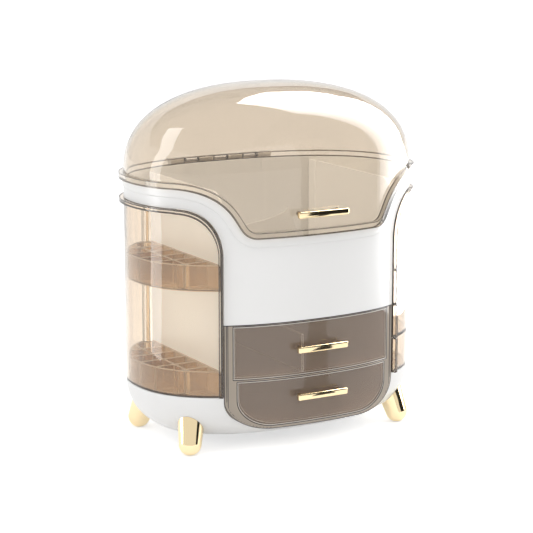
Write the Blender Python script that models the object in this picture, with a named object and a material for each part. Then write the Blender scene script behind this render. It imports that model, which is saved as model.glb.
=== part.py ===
"""Dressing-table organizer: domed lid, top bin, two drawers, a tall swing-out
lipstick door on the left and four swing-out trays on the right, on four feet.

Frame: +X right, -Y front, +Z up, metres. The origin is on the floor under the
middle of the whole object. Every upright wall follows one plan curve, a
superellipse, so each piece is drawn from that curve and an inset into it.
"""

from math import atan2, cos, pi, radians, sin, sqrt, tan

import bmesh
import bpy
from mathutils import Matrix, Vector

# Plan curve and heights that every piece shares
HALF_WIDTH = 0.150
HALF_DEPTH = 0.099
PLAN_POWER = 2.35
SEAT_GAP = 0.0003
RUN_GAP = 0.0005
BOWL_FLOOR_Z = 0.0126
DECK_Z = 0.0598
BIN_FLOOR_Z = 0.1315
RIM_Z = 0.2626
TOP_Z = 0.3542
OVERRUN = 0.010

# White shell
SHELL_WALL = 0.0030
RIM_BAND = 0.0012
RIM_BAND_HEIGHT = 0.0080
DIP_SIDE_MARGIN = 0.0860
DIP_DEPTH = 0.0480
DIP_RADIUS = 0.0180
SHOULDER_RADIUS = 0.0560
SHOULDER_SLOPE = radians(60)
WINDOW_WIDTH = 0.0541
WINDOW_REAR_STEP = 0.0016
BELT_HEIGHT = 0.0187
WINDOW_CORNER_WIDTH = 0.0355
WINDOW_CORNER_HEIGHT = 0.0463

# Base bowl, deck and feet
BOWL_TUCK = 0.0430
DECK_THICKNESS = 0.0030
FOOT_SIDE_MARGIN = 0.0298
FOOT_END_MARGIN = 0.0419
FOOT_TIP_RADIUS = 0.0115
FOOT_TOP_RADIUS = 0.0145
FOOT_LENGTH = 0.0500
FOOT_SPLAY = radians(21)
FOOT_TURN = radians(55)
FOOT_FLAT_DEPTH = 0.0006

# Partitions, ceilings, bin floor and bin divider
PARTITION_SET_BACK = 0.0019
PARTITION_WALL = 0.0022
PARTITION_REAR_DROP = 0.0030
PARTITION_FRONT_DROP = 0.0035
PARTITION_NOSE = 0.0180
PARTITION_SLOT_MARGIN = 0.0340
PARTITION_SLOT_DEPTH = 0.0700
PARTITION_SLOT_WIDTH = 0.0010
PARTITION_CORNER = 0.0040
CEILING_THICKNESS = 0.0018
BIN_FLOOR_THICKNESS = 0.0020
BIN_DIVIDER_Y = -0.0300
BIN_DIVIDER_WALL = 0.0020
BIN_DIVIDER_TALL = 0.0996
BIN_DIVIDER_SHORT = 0.0831
BIN_DIVIDER_PEAK_X = 0.0055
BIN_DIVIDER_SLANT = radians(70)

# Drawer housing and drawers
FACE_FRAME_DEPTH = 0.0060
HOUSING_LIFT = 0.0149
HOUSING_REAR_MARGIN = 0.0310
HOUSING_CORNER_WIDTH = 0.0450
HOUSING_CORNER_HEIGHT = 0.0290
HOUSING_TOP_WALL = 0.0016
HOUSING_BACK_WALL = 0.0020
HOUSING_FLOOR_WALL = 0.0021
UPPER_POST_WIDTH = 0.0060
LOWER_POST_WIDTH = 0.0095
SHELF_LIFT = 0.0475
SHELF_THICKNESS = 0.0022
DRAWER_WALL = 0.0020
DRAWER_REAR_GAP = 0.0020
DRAWER_DIVIDER_WALL = 0.0016
DRAWER_DIVIDER_DROP = 0.0120
UPPER_DIVIDER_X = -0.0180
LOWER_DIVIDER_Y = 0.0050

# Handles
HANDLE_LENGTH = 0.0560
HANDLE_HEIGHT = 0.0065
HANDLE_DEPTH = 0.0050
HANDLE_STAND_OFF = 0.0055
HANDLE_ROUNDING = 0.0016
HANDLE_POST_RADIUS = 0.0021
HANDLE_POST_X = 0.0215
LID_HANDLE_LIFT = 0.0215
UPPER_HANDLE_LIFT = 0.0269
LOWER_HANDLE_DROP = 0.0180

# Lid and its hinge
LID_WALL = 0.0025
LID_SKIRT = 0.0065
LID_DOME_POWER = 2.35
FLANGE_PROUD = 0.0046
FLANGE_HEIGHT = 0.0060
FLANGE_ROUNDING = 0.0014
HINGE_STAND_OFF = 0.0085
HINGE_RISE = 0.0022
HINGE_BARREL_RADIUS = 0.0033
HINGE_PIN_RADIUS = 0.0010
HINGE_PIN_CLEARANCE = 0.0003
HINGE_LENGTH = 0.1230
HINGE_KNUCKLES = 7
HINGE_KNUCKLE_GAP = 0.0005
HINGE_WEB_BITE = 0.0008
HINGE_WEB_DEPTH = 0.0110
HINGE_WEB_DROP = 0.0010

# Swing-out units
UNIT_EDGE_STEP = 0.0011
UNIT_LIFT = 0.0006
UNIT_BARREL_RADIUS = 0.0053
UNIT_WALL = 0.0020
UNIT_FLOOR = 0.0020
BEAD_WIDTH = 0.0038
BEAD_PROUD = 0.0046
BEAD_ROUNDING = 0.0012
BEAD_BITE = 0.0010
BEAD_LAP = 0.0002
ROD_RADIUS = 0.0015
ROD_CLEARANCE = 0.0004
ROD_BOSS_WALL = 0.0023
BOTTOM_TRAY_HEIGHT = 0.0359
LOWER_MIDDLE_TRAY_HEIGHT = 0.0348
UPPER_MIDDLE_TRAY_HEIGHT = 0.0355
RIGHT_LIP_HEIGHT = 0.0220
LIP_RISE = 0.0060
LIPSTICK_TRAY_HEIGHT = 0.0250
UPPER_LIPSTICK_LIFT = 0.1042
CELL_PITCH = 0.0241
CELL_ROW_DEPTH = 0.0245
CELL_WALL = 0.0014
CELL_LEAST = 0.0100

# How finely curves are drawn
SHOULDER_REACH_SHARE = 1.3
SHOULDER_STEPS = 16
QUARTER_STEPS = 7
DOME_STEPS = 8
CORNER_STEPS = 8
ARC_STEPS = 6
ROUND_SIDES = 16

# Places that follow from the sizes above
DIP_HALF_WIDTH = HALF_WIDTH - DIP_SIDE_MARGIN
DIP_Z = RIM_Z - DIP_DEPTH
WINDOW_FRONT_X = HALF_WIDTH - WINDOW_WIDTH
WINDOW_REAR_X = WINDOW_FRONT_X + WINDOW_REAR_STEP
WINDOW_TOP_Z = RIM_Z - BELT_HEIGHT
FOOT_TIP_X = HALF_WIDTH - FOOT_SIDE_MARGIN
FOOT_TIP_Y = HALF_DEPTH - FOOT_END_MARGIN
PARTITION_X = WINDOW_FRONT_X - PARTITION_SET_BACK
PARTITION_REAR_Z = RIM_Z - PARTITION_REAR_DROP
PARTITION_FRONT_Z = RIM_Z - PARTITION_FRONT_DROP
PARTITION_SLOT_Y = HALF_DEPTH - PARTITION_SLOT_MARGIN
PARTITION_SLOT_Z = RIM_Z - PARTITION_SLOT_DEPTH
BIN_DIVIDER_TALL_Z = BIN_FLOOR_Z + BIN_DIVIDER_TALL
BIN_DIVIDER_SHORT_Z = BIN_FLOOR_Z + BIN_DIVIDER_SHORT
HOUSING_BOTTOM_Z = BOWL_FLOOR_Z + HOUSING_LIFT
HOUSING_BACK_Y = HALF_DEPTH - HOUSING_REAR_MARGIN
SHELF_LOW_Z = HOUSING_BOTTOM_Z + SHELF_LIFT
SHELF_HIGH_Z = SHELF_LOW_Z + SHELF_THICKNESS
LID_HANDLE_Z = DIP_Z + LID_HANDLE_LIFT
UPPER_HANDLE_Z = SHELF_HIGH_Z + UPPER_HANDLE_LIFT
LOWER_HANDLE_Z = SHELF_LOW_Z - LOWER_HANDLE_DROP
LID_DOME_Z = RIM_Z + LID_SKIRT
HINGE_Y = HALF_DEPTH + HINGE_STAND_OFF
HINGE_Z = RIM_Z + HINGE_RISE
UNIT_INNER_X = WINDOW_FRONT_X + UNIT_EDGE_STEP
UNIT_PIVOT_X = UNIT_INNER_X + UNIT_BARREL_RADIUS
UNIT_LOW_Z = DECK_Z + UNIT_LIFT
UNIT_HIGH_Z = WINDOW_TOP_Z - UNIT_LIFT
UPPER_LIPSTICK_Z = UNIT_LOW_Z + UPPER_LIPSTICK_LIFT


def plan_y(x, inset=0.0):
    """Half depth of the plan curve at x, for a curve drawn inset into it."""
    share = min(abs(x) / (HALF_WIDTH - inset), 1.0)
    return (HALF_DEPTH - inset) * (1.0 - share ** PLAN_POWER) ** (1.0 / PLAN_POWER)


def plan_angle(x):
    """Curve parameter, 0 at +X and a quarter turn at the front or back, at x."""
    return atan2(sqrt(1.0 - (x / HALF_WIDTH) ** PLAN_POWER), (x / HALF_WIDTH) ** (PLAN_POWER / 2.0))


def inset_angle(x, inset):
    """Curve parameter at which the inset plan curve reaches x."""
    return plan_angle(x * HALF_WIDTH / (HALF_WIDTH - inset))


def plan_point(angle, inset=0.0, scale=1.0):
    """Point of the plan curve at a parameter, inset and scaled about its middle."""
    across = cos(angle)
    along = sin(angle)
    x = (HALF_WIDTH - inset) * abs(across) ** (2.0 / PLAN_POWER)
    y = (HALF_DEPTH - inset) * abs(along) ** (2.0 / PLAN_POWER)
    return Vector((x * scale * (1 if across >= 0 else -1), y * scale * (1 if along >= 0 else -1)))


def spread(first, last, steps):
    """Evenly spaced values from first up to, but without, last."""
    return [first + (last - first) * step / steps for step in range(steps)]


def swoop_z(x, drop):
    """Height of the front rim at x: flat rim, shoulder arc, slope, dip arc, flat dip.

    A drop gives the curve that runs parallel to the rim, that far below it.
    """
    rise = RIM_Z - DIP_Z
    radii = SHOULDER_RADIUS + DIP_RADIUS
    slope_length = (rise - radii * (1.0 - cos(SHOULDER_SLOPE))) / sin(SHOULDER_SLOPE)
    shoulder_x = DIP_HALF_WIDTH + radii * sin(SHOULDER_SLOPE) + slope_length * cos(SHOULDER_SLOPE)
    upper = SHOULDER_RADIUS - drop
    lower = DIP_RADIUS + drop
    slope_start = DIP_HALF_WIDTH + lower * sin(SHOULDER_SLOPE)
    slope_end = shoulder_x - upper * sin(SHOULDER_SLOPE)
    reach = abs(x)
    if reach <= DIP_HALF_WIDTH:
        return DIP_Z - drop
    if reach <= slope_start:
        return DIP_Z + DIP_RADIUS - sqrt(lower ** 2 - (reach - DIP_HALF_WIDTH) ** 2)
    if reach <= slope_end:
        slope_low = DIP_Z + DIP_RADIUS - lower * cos(SHOULDER_SLOPE)
        return slope_low + (reach - slope_start) * sin(SHOULDER_SLOPE) / cos(SHOULDER_SLOPE)
    if reach <= shoulder_x:
        return RIM_Z - SHOULDER_RADIUS + sqrt(upper ** 2 - (reach - shoulder_x) ** 2)
    return RIM_Z - drop


def rim_z(point, drop):
    """Height of the rim at a plan point: the swoop in front, level elsewhere."""
    return swoop_z(point.x, drop) if point.y < 0 else RIM_Z - drop


def rim_angles():
    """Curve parameters all round, close together where the front rim swoops."""
    shoulder = plan_angle(DIP_HALF_WIDTH + SHOULDER_REACH_SHARE * SHOULDER_RADIUS)
    dip = plan_angle(DIP_HALF_WIDTH)
    front = spread(0.0, shoulder, 2) + spread(shoulder, dip, SHOULDER_STEPS) + spread(dip, pi / 2, 3)
    back = spread(0.0, pi, 2 * QUARTER_STEPS)
    left = [pi + angle for angle in front]
    right = [2 * pi - angle for angle in reversed(front[1:])]
    return back + left + [1.5 * pi] + right


def paint(name, colour, roughness, metallic=0.0, alpha=1.0):
    """Principled material of one moulding or fitting."""
    material = bpy.data.materials.new(name)
    material.use_nodes = True
    shader = material.node_tree.nodes["Principled BSDF"]
    shader.inputs["Base Color"].default_value = (*colour, 1.0)
    shader.inputs["Roughness"].default_value = roughness
    shader.inputs["Metallic"].default_value = metallic
    shader.inputs["Alpha"].default_value = alpha
    return material


def white(name):
    return paint(name + "_white", (0.84, 0.83, 0.81), 0.25)


def champagne(name):
    return paint(name + "_champagne", (0.78, 0.69, 0.55), 0.08, alpha=0.45)


def smoke(name):
    return paint(name + "_smoke", (0.24, 0.20, 0.17), 0.10, alpha=0.60)


def gold(name):
    return paint(name + "_gold", (0.86, 0.66, 0.34), 0.15, metallic=1.0)


def steel(name):
    return paint(name + "_steel", (0.60, 0.60, 0.61), 0.30, metallic=1.0)


def mesh_object(name, points, faces):
    """Closed mesh with its faces turned outwards."""
    form = bmesh.new()
    corners = [form.verts.new(point) for point in points]
    for face in faces:
        form.faces.new([corners[index] for index in face])
    bmesh.ops.recalc_face_normals(form, faces=form.faces)
    mesh = bpy.data.meshes.new(name)
    form.to_mesh(mesh)
    form.free()
    body = bpy.data.objects.new(name, mesh)
    bpy.context.collection.objects.link(body)
    return body


def loft(name, loops, ring=False):
    """Skin over equal closed loops, joined end to end in a ring or capped."""
    count = len(loops[0])
    points = [point for loop in loops for point in loop]
    faces = []
    for row in range(len(loops) if ring else len(loops) - 1):
        near = row * count
        far = (row + 1) % len(loops) * count
        for index in range(count):
            after = (index + 1) % count
            faces.append((near + index, near + after, far + after, far + index))
    if not ring:
        faces.append(tuple(range(count)))
        faces.append(tuple(range(len(points) - count, len(points))))
    return mesh_object(name, points, faces)


def prism(name, outline, low, high):
    """Plan outline raised from one height to another."""
    return loft(name, [[(x, y, low) for x, y in outline], [(x, y, high) for x, y in outline]])


def side_prism(name, outline, first_x, last_x):
    """Outline in depth and height, carried across from one x to another."""
    return loft(name, [[(x, y, z) for y, z in outline] for x in (first_x, last_x)])


def upright_cylinder(name, x, y, radius, low, high):
    turn = 2 * pi / ROUND_SIDES
    outline = [(x + radius * cos(turn * side), y + radius * sin(turn * side)) for side in range(ROUND_SIDES)]
    return prism(name, outline, low, high)


def cross_bar(name, y, z, radius, first_x, last_x):
    turn = 2 * pi / ROUND_SIDES
    outline = [(y + radius * cos(turn * side), z + radius * sin(turn * side)) for side in range(ROUND_SIDES)]
    return side_prism(name, outline, first_x, last_x)


def combine(body, tool, operation):
    """Union or difference of two closed forms. The tool is used up."""
    modifier = body.modifiers.new(operation, "BOOLEAN")
    modifier.operation = operation
    modifier.object = tool
    bpy.context.view_layer.update()
    shape = body.evaluated_get(bpy.context.evaluated_depsgraph_get())
    mesh = bpy.data.meshes.new_from_object(shape)
    body.modifiers.remove(modifier)
    body.data = mesh
    bpy.data.objects.remove(tool)
    return body


def finish(body, material, hub, pivot=(0.0, 0.0, 0.0)):
    """Give a piece its material, smooth shading, and its origin on its pivot."""
    mesh = body.data
    mesh.materials.clear()
    mesh.materials.append(material)
    mesh.transform(Matrix.Translation(-Vector(pivot)))
    mesh.shade_smooth()
    mesh.set_sharp_from_angle(angle=radians(35))
    body.location = pivot
    body.parent = hub
    return body


def shell_frame(hub):
    """White shell: front panel with its dipped rim, belt round the sides, back panel."""
    angles = rim_angles()
    rows = (
        (SHELL_WALL, SEAT_GAP, None),
        (-RIM_BAND, SEAT_GAP, None),
        (-RIM_BAND, RIM_BAND_HEIGHT, None),
        (0.0, RIM_BAND_HEIGHT + RIM_BAND, None),
        (0.0, None, DECK_Z + SEAT_GAP),
        (SHELL_WALL, None, DECK_Z + SEAT_GAP),
    )
    loops = []
    for angle in angles:
        loop = []
        for inset, drop, height in rows:
            spot = plan_point(angle, inset)
            z = rim_z(plan_point(angle), drop) if height is None else height
            loop.append((spot.x, spot.y, z))
        loops.append(loop)
    body = loft("shell_frame", loops, ring=True)
    outside = HALF_WIDTH + OVERRUN
    front = HALF_DEPTH + OVERRUN
    low = DECK_Z - OVERRUN
    for side in (-1, 1):
        corner = window_corner(WINDOW_FRONT_X, 0.0)
        profile = [(WINDOW_FRONT_X, low)] + corner + [(outside, WINDOW_TOP_Z), (outside, low)]
        loops = [[(side * x, y, z) for x, z in profile] for y in (-front, OVERRUN)]
        body = combine(body, loft("window_front", loops), "DIFFERENCE")
        outline = [(side * x, y) for x, y in (
            (WINDOW_REAR_X, 0.0), (outside, 0.0), (outside, front), (WINDOW_REAR_X, front))]
        body = combine(body, prism("window_rear", outline, low, WINDOW_TOP_Z), "DIFFERENCE")
    mouth = WINDOW_FRONT_X + OVERRUN
    outline = [(-mouth, -front), (mouth, -front), (mouth, 0.0), (-mouth, 0.0)]
    body = combine(body, prism("drawer_mouth", outline, low, BIN_FLOOR_Z), "DIFFERENCE")
    body = combine(body, hinge_knuckles("shell_knuckles", 0), "UNION")
    return finish(combine(body, hinge_bore(), "DIFFERENCE"), white("shell_frame"), hub)


def window_corner(edge_x, shrink):
    """Rounded upper front corner of a side window, drawn in from it by a shrink."""
    width = WINDOW_CORNER_WIDTH - shrink
    height = WINDOW_CORNER_HEIGHT - shrink
    middle_x = edge_x + width
    middle_z = WINDOW_TOP_Z - WINDOW_CORNER_HEIGHT
    turns = spread(0.0, pi / 2, CORNER_STEPS) + [pi / 2]
    return [(middle_x - width * cos(turn), middle_z + height * sin(turn)) for turn in turns]


def hinge_knuckles(name, first):
    """Every second knuckle of the lid hinge, with the web that ties it to its part."""
    pitch = HINGE_LENGTH / HINGE_KNUCKLES
    knuckles = None
    for index in range(first, HINGE_KNUCKLES, 2):
        start = -HINGE_LENGTH / 2 + index * pitch + HINGE_KNUCKLE_GAP / 2
        end = start + pitch - HINGE_KNUCKLE_GAP
        if first:
            knuckle = lid_knuckle(name, start, end)
        else:
            knuckle = shell_knuckle(name, start, end)
        knuckles = knuckle if knuckles is None else combine(knuckles, knuckle, "UNION")
    return knuckles


def barrel_arc(first_turn, last_turn):
    """Points round the hinge barrel, in depth and height."""
    turns = spread(first_turn, last_turn, ROUND_SIDES) + [last_turn]
    return [(HINGE_Y + HINGE_BARREL_RADIUS * cos(turn), HINGE_Z + HINGE_BARREL_RADIUS * sin(turn))
            for turn in turns]


def shell_knuckle(name, start, end):
    """Barrel over a web that runs down to the shell's back wall."""
    bite_y = plan_y(max(abs(start), abs(end))) - HINGE_WEB_BITE
    web_top = RIM_Z - HINGE_WEB_DROP
    foot = (bite_y, web_top - HINGE_WEB_DEPTH)
    outline = [foot] + barrel_arc(-0.25 * pi, 1.33 * pi) + [(bite_y, web_top)]
    return side_prism(name, outline, start, end)


def lid_knuckle(name, start, end):
    """Barrel with a web that runs forward into the lid's flange."""
    wall_y = plan_y(max(abs(start), abs(end)))
    bite_y = wall_y + FLANGE_PROUD - FLANGE_ROUNDING - HINGE_WEB_BITE
    web_low = RIM_Z + HINGE_WEB_BITE
    web_high = HINGE_Z + HINGE_BARREL_RADIUS
    outline = [(bite_y, web_high)] + barrel_arc(0.5 * pi, -0.9 * pi) + [(bite_y, web_low)]
    return side_prism(name, outline, start, end)


def hinge_bore():
    radius = HINGE_PIN_RADIUS + HINGE_PIN_CLEARANCE
    reach = HINGE_LENGTH / 2 + OVERRUN
    return cross_bar("hinge_bore", HINGE_Y, HINGE_Z, radius, -reach, reach)


def hinge_pin(hub):
    reach = HINGE_LENGTH / 2
    body = cross_bar("hinge_pin", HINGE_Y, HINGE_Z, HINGE_PIN_RADIUS, -reach, reach)
    return finish(body, steel("hinge_pin"), hub)


def lid(hub):
    """Domed lid: one thin moulding with a rounded flange along its swooping rim."""
    angles = rim_angles()
    edge = FLANGE_PROUD - FLANGE_ROUNDING
    dome_turns = [pi / 2 * step / DOME_STEPS for step in range(DOME_STEPS)]
    rows = []
    for turn in reversed(dome_turns):
        rows.append([dome_point(angle, turn, 0.0) for angle in angles])
    for inset, drop in (
        (0.0, -FLANGE_HEIGHT),
        (-edge, -FLANGE_HEIGHT),
        (-FLANGE_PROUD, FLANGE_ROUNDING - FLANGE_HEIGHT),
        (-FLANGE_PROUD, -FLANGE_ROUNDING),
        (-edge, 0.0),
        (LID_WALL, 0.0),
    ):
        row = []
        for angle in angles:
            spot = plan_point(angle, inset)
            row.append((spot.x, spot.y, rim_z(plan_point(angle), drop)))
        rows.append(row)
    for turn in dome_turns:
        rows.append([dome_point(angle, turn, LID_WALL) for angle in angles])
    count = len(angles)
    points = [point for row in rows for point in row]
    faces = []
    for row in range(len(rows) - 1):
        for index in range(count):
            after = (index + 1) % count
            near = row * count
            faces.append((near + index, near + after, near + count + after, near + count + index))
    outer_pole = len(points)
    points.append((0.0, 0.0, TOP_Z))
    points.append((0.0, 0.0, TOP_Z - LID_WALL))
    last_row = (len(rows) - 1) * count
    for index in range(count):
        after = (index + 1) % count
        faces.append((outer_pole, after, index))
        faces.append((outer_pole + 1, last_row + index, last_row + after))
    body = mesh_object("lid", points, faces)
    body = combine(body, hinge_knuckles("lid_knuckles", 1), "UNION")
    body = combine(body, hinge_bore(), "DIFFERENCE")
    return finish(body, champagne("lid"), hub, (0.0, HINGE_Y, HINGE_Z))


def dome_point(angle, turn, inset):
    """Point of the dome: the plan curve drawn in by a superellipse as it rises."""
    scale = cos(turn) ** (2.0 / LID_DOME_POWER)
    rise = sin(turn) ** (2.0 / LID_DOME_POWER)
    spot = plan_point(angle, inset, scale)
    return (spot.x, spot.y, LID_DOME_Z + (TOP_Z - inset - LID_DOME_Z) * rise)


def bowl_profile(inset):
    """Insets and heights down the side of the bowl, a quarter ellipse to its floor."""
    height = DECK_Z - BOWL_FLOOR_Z
    turns = spread(0.0, pi / 2, QUARTER_STEPS) + [pi / 2]
    profile = []
    for turn in turns:
        profile.append((BOWL_TUCK - (BOWL_TUCK - inset) * cos(turn),
                        DECK_Z - (height - inset) * sin(turn)))
    return profile


def bowl_solid(name, inset, angles, top_z):
    """Solid form of the bowl, grown or shrunk by an inset."""
    loops = [[(*plan_point(angle, inset), top_z) for angle in angles]] if top_z > DECK_Z else []
    for reach, z in bowl_profile(inset):
        loops.append([(*plan_point(angle, reach), z) for angle in angles])
    return loft(name, loops)


def round_angles():
    return spread(0.0, 2 * pi, 6 * QUARTER_STEPS)


def base_bowl(hub):
    """White bowl under everything, open on top and in front for the drawers."""
    angles = round_angles()
    body = bowl_solid("base_bowl", 0.0, angles, DECK_Z)
    body = combine(body, bowl_solid("bowl_hollow", SHELL_WALL, angles, DECK_Z + OVERRUN), "DIFFERENCE")
    body = combine(body, housing_blank("housing_room", SEAT_GAP), "DIFFERENCE")
    return finish(body, white("base_bowl"), hub)


def base_deck(hub):
    """Deck that closes the bowl and carries the partitions and the pivot rods."""
    outline = [tuple(plan_point(angle, SHELL_WALL + 2 * SEAT_GAP)) for angle in round_angles()]
    body = prism("base_deck", outline, DECK_Z - DECK_THICKNESS, DECK_Z)
    body = combine(body, housing_blank("housing_room", SEAT_GAP), "DIFFERENCE")
    for side in (-1, 1):
        body = combine(body, rod_hole(side, DECK_Z - OVERRUN, DECK_Z + OVERRUN), "DIFFERENCE")
    return finish(body, white("base_deck"), hub)


def rod_hole(side, low, high):
    return upright_cylinder("rod_hole", side * UNIT_PIVOT_X, pivot_y(), ROD_RADIUS + ROD_CLEARANCE, low, high)


def pivot_y():
    """Depth at which the barrel circle touches the plan curve from inside."""
    return plan_y(UNIT_PIVOT_X, UNIT_BARREL_RADIUS)


def foot(hub, name, side, end):
    """Splayed tapering foot with a round end, cut to the bowl above it."""
    rows = []
    for turn in spread(-pi / 2, 0.0, QUARTER_STEPS)[1:] + [0.0]:
        rows.append((FOOT_TIP_RADIUS * cos(turn), FOOT_TIP_RADIUS * (1 + sin(turn))))
    rows.append((FOOT_TOP_RADIUS, FOOT_LENGTH))
    step = 2 * pi / ROUND_SIDES
    loops = [[(radius * cos(step * i), radius * sin(step * i), z) for i in range(ROUND_SIDES)]
             for radius, z in rows]
    body = loft(name, loops)
    outward = Vector((side * cos(FOOT_TURN), end * sin(FOOT_TURN), 0.0))
    lean = Matrix.Rotation(FOOT_SPLAY, 4, outward.cross(Vector((0.0, 0.0, 1.0))))
    # The round end's centre stays over the tip, whatever the lean
    centre = Vector((0.0, 0.0, FOOT_TIP_RADIUS))
    place = Vector((side * FOOT_TIP_X, end * FOOT_TIP_Y, FOOT_TIP_RADIUS - FOOT_FLAT_DEPTH))
    body.data.transform(Matrix.Translation(place) @ lean @ Matrix.Translation(-centre))
    body = combine(body, bowl_solid("bowl_seat", -SEAT_GAP, round_angles(), DECK_Z + OVERRUN), "DIFFERENCE")
    half = FOOT_LENGTH
    square = [(place.x + half * a, place.y + half * b) for a, b in ((-1, -1), (1, -1), (1, 1), (-1, 1))]
    body = combine(body, prism("floor", square, -OVERRUN, 0.0), "DIFFERENCE")
    return finish(body, gold(name), hub)


def shell_inside():
    """Outline that fits inside the shell, with the same corners as the shell has."""
    return [tuple(plan_point(angle, SHELL_WALL + SEAT_GAP)) for angle in rim_angles()]


def partition(hub, name, side):
    """Wall between the middle of the box and one side, slit from its top near the back."""
    outer_x = PARTITION_X + PARTITION_WALL
    wall_y = plan_y(outer_x, SHELL_WALL + SEAT_GAP)
    face_y = plan_y(WINDOW_FRONT_X) - FACE_FRAME_DEPTH - SEAT_GAP
    foot_z = DECK_Z + SEAT_GAP
    step_z = BIN_FLOOR_Z
    nose = [(-wall_y + PARTITION_NOSE * (1 - cos(turn)), PARTITION_FRONT_Z - PARTITION_NOSE * (1 - sin(turn)))
            for turn in spread(0.0, pi / 2, ARC_STEPS) + [pi / 2]]
    outline = [(wall_y, foot_z), (-face_y, foot_z), (-face_y, step_z), (-wall_y, step_z)]
    corner = [(PARTITION_SLOT_Y - PARTITION_CORNER * (1 - sin(turn)),
               PARTITION_REAR_Z - PARTITION_CORNER * (1 - cos(turn)))
              for turn in spread(0.0, pi / 2, ARC_STEPS) + [pi / 2]]
    slot_end_y = PARTITION_SLOT_Y + PARTITION_SLOT_WIDTH
    outline += nose + corner + [(PARTITION_SLOT_Y, PARTITION_SLOT_Z), (slot_end_y, PARTITION_SLOT_Z),
                                (slot_end_y, PARTITION_REAR_Z), (wall_y, PARTITION_REAR_Z)]
    body = side_prism(name, outline, side * PARTITION_X, side * outer_x)
    return finish(body, white(name), hub)


def ceiling(hub, name, side):
    """Plate under the belt that closes a side compartment and holds its rod."""
    inner_x = PARTITION_X + PARTITION_WALL + SEAT_GAP
    outline = mirrored(clipped(shell_inside(), inner_x, HALF_WIDTH, -HALF_DEPTH, HALF_DEPTH), side)
    low = WINDOW_TOP_Z + SEAT_GAP
    body = prism(name, outline, low, low + CEILING_THICKNESS)
    body = combine(body, rod_hole(side, low - OVERRUN, low + OVERRUN), "DIFFERENCE")
    return finish(body, white(name), hub)


def side_arc(front_x, rear_x, inset):
    """Plan curve round the right end, from just after front_x to rear_x."""
    front = -plan_angle(front_x)
    rear = plan_angle(rear_x)
    angles = spread(front, rear, 2 * QUARTER_STEPS)[1:]
    points = [tuple(plan_point(angle, inset)) for angle in angles]
    return points + [(rear_x, plan_y(rear_x, inset))]


def bin_floor(hub):
    """Floor of the top bin, over the drawer housing."""
    half = PARTITION_X - SEAT_GAP
    outline = clipped(shell_inside(), -half, half, -HALF_DEPTH, HALF_DEPTH)
    body = prism("bin_floor", outline, BIN_FLOOR_Z + SEAT_GAP, BIN_FLOOR_Z + SEAT_GAP + BIN_FLOOR_THICKNESS)
    return finish(body, white("bin_floor"), hub)


def bin_divider(hub):
    """Upright divider of the top bin, its upper edge hollowed up to a slanted end."""
    low = BIN_FLOOR_Z + BIN_FLOOR_THICKNESS + 2 * SEAT_GAP
    left = -PARTITION_X + SEAT_GAP
    span = BIN_DIVIDER_PEAK_X - left
    rise = BIN_DIVIDER_TALL_Z - BIN_DIVIDER_SHORT_Z
    sweep = [(left + span * sin(turn), BIN_DIVIDER_SHORT_Z + rise * (1 - cos(turn)))
             for turn in spread(0.0, pi / 2, ARC_STEPS) + [pi / 2]]
    toe = BIN_DIVIDER_PEAK_X + (BIN_DIVIDER_TALL_Z - low) / tan(BIN_DIVIDER_SLANT)
    outline = [(toe, low), (left, low)] + sweep
    loops = [[(x, y, z) for x, z in outline] for y in (BIN_DIVIDER_Y, BIN_DIVIDER_Y + BIN_DIVIDER_WALL)]
    return finish(loft("bin_divider", loops), white("bin_divider"), hub)


def corner_columns(half, corner_width):
    """Places across a box whose lower corners are rounded."""
    turns = spread(0.0, pi / 2, CORNER_STEPS)
    right = [half - corner_width * (1 - cos(turn)) for turn in turns]
    flat = half - corner_width
    middle = [flat - 2 * flat * step / QUARTER_STEPS for step in range(QUARTER_STEPS + 1)]
    return right + middle + [-x for x in reversed(right)]


def rounded_floor(x, half, low, corner_width, corner_height):
    """Height of a floor that curves up to its side walls."""
    share = max(0.0, abs(x) - (half - corner_width)) / corner_width
    return low + corner_height * (1.0 - sqrt(max(0.0, 1.0 - share ** 2)))


def bowed_block(name, half, front_inset, back_y, low, high, corner_width, corner_height):
    """Block whose front follows the plan curve and whose lower corners are round.

    Its back is level, or with no back_y follows the front at the face frame's depth.
    """
    loops = []
    for x in corner_columns(half, corner_width):
        floor = rounded_floor(x, half, low, corner_width, corner_height)
        front = -plan_y(x, front_inset)
        back = back_y
        if back is None:
            back = -plan_y(x) + FACE_FRAME_DEPTH + (SEAT_GAP if front_inset else 0.0)
        loops.append([(x, front, floor), (x, back, floor), (x, back, high), (x, front, high)])
    return loft(name, loops)


def housing_blank(name, growth):
    """Outside of the drawer housing with its face frame, grown by a gap."""
    high = BIN_FLOOR_Z - SEAT_GAP + (OVERRUN if growth else 0.0)
    front_inset = -OVERRUN if growth else 0.0
    body = bowed_block(
        name, PARTITION_X - SEAT_GAP + growth, front_inset, HOUSING_BACK_Y + growth,
        HOUSING_BOTTOM_Z - growth, high, HOUSING_CORNER_WIDTH, HOUSING_CORNER_HEIGHT)
    spread_x = WINDOW_FRONT_X - PARTITION_X + SEAT_GAP
    face = bowed_block(
        name + "_face", WINDOW_FRONT_X + growth, front_inset, None,
        HOUSING_BOTTOM_Z - spread_x / 2 - growth, high,
        HOUSING_CORNER_WIDTH + spread_x, HOUSING_CORNER_HEIGHT + spread_x / 2)
    return combine(body, face, "UNION")


def bay_half(post_width):
    """Half width of a drawer bay between its two posts."""
    return PARTITION_X - SEAT_GAP - post_width


def lower_corner_width():
    return HOUSING_CORNER_WIDTH - LOWER_POST_WIDTH


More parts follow.
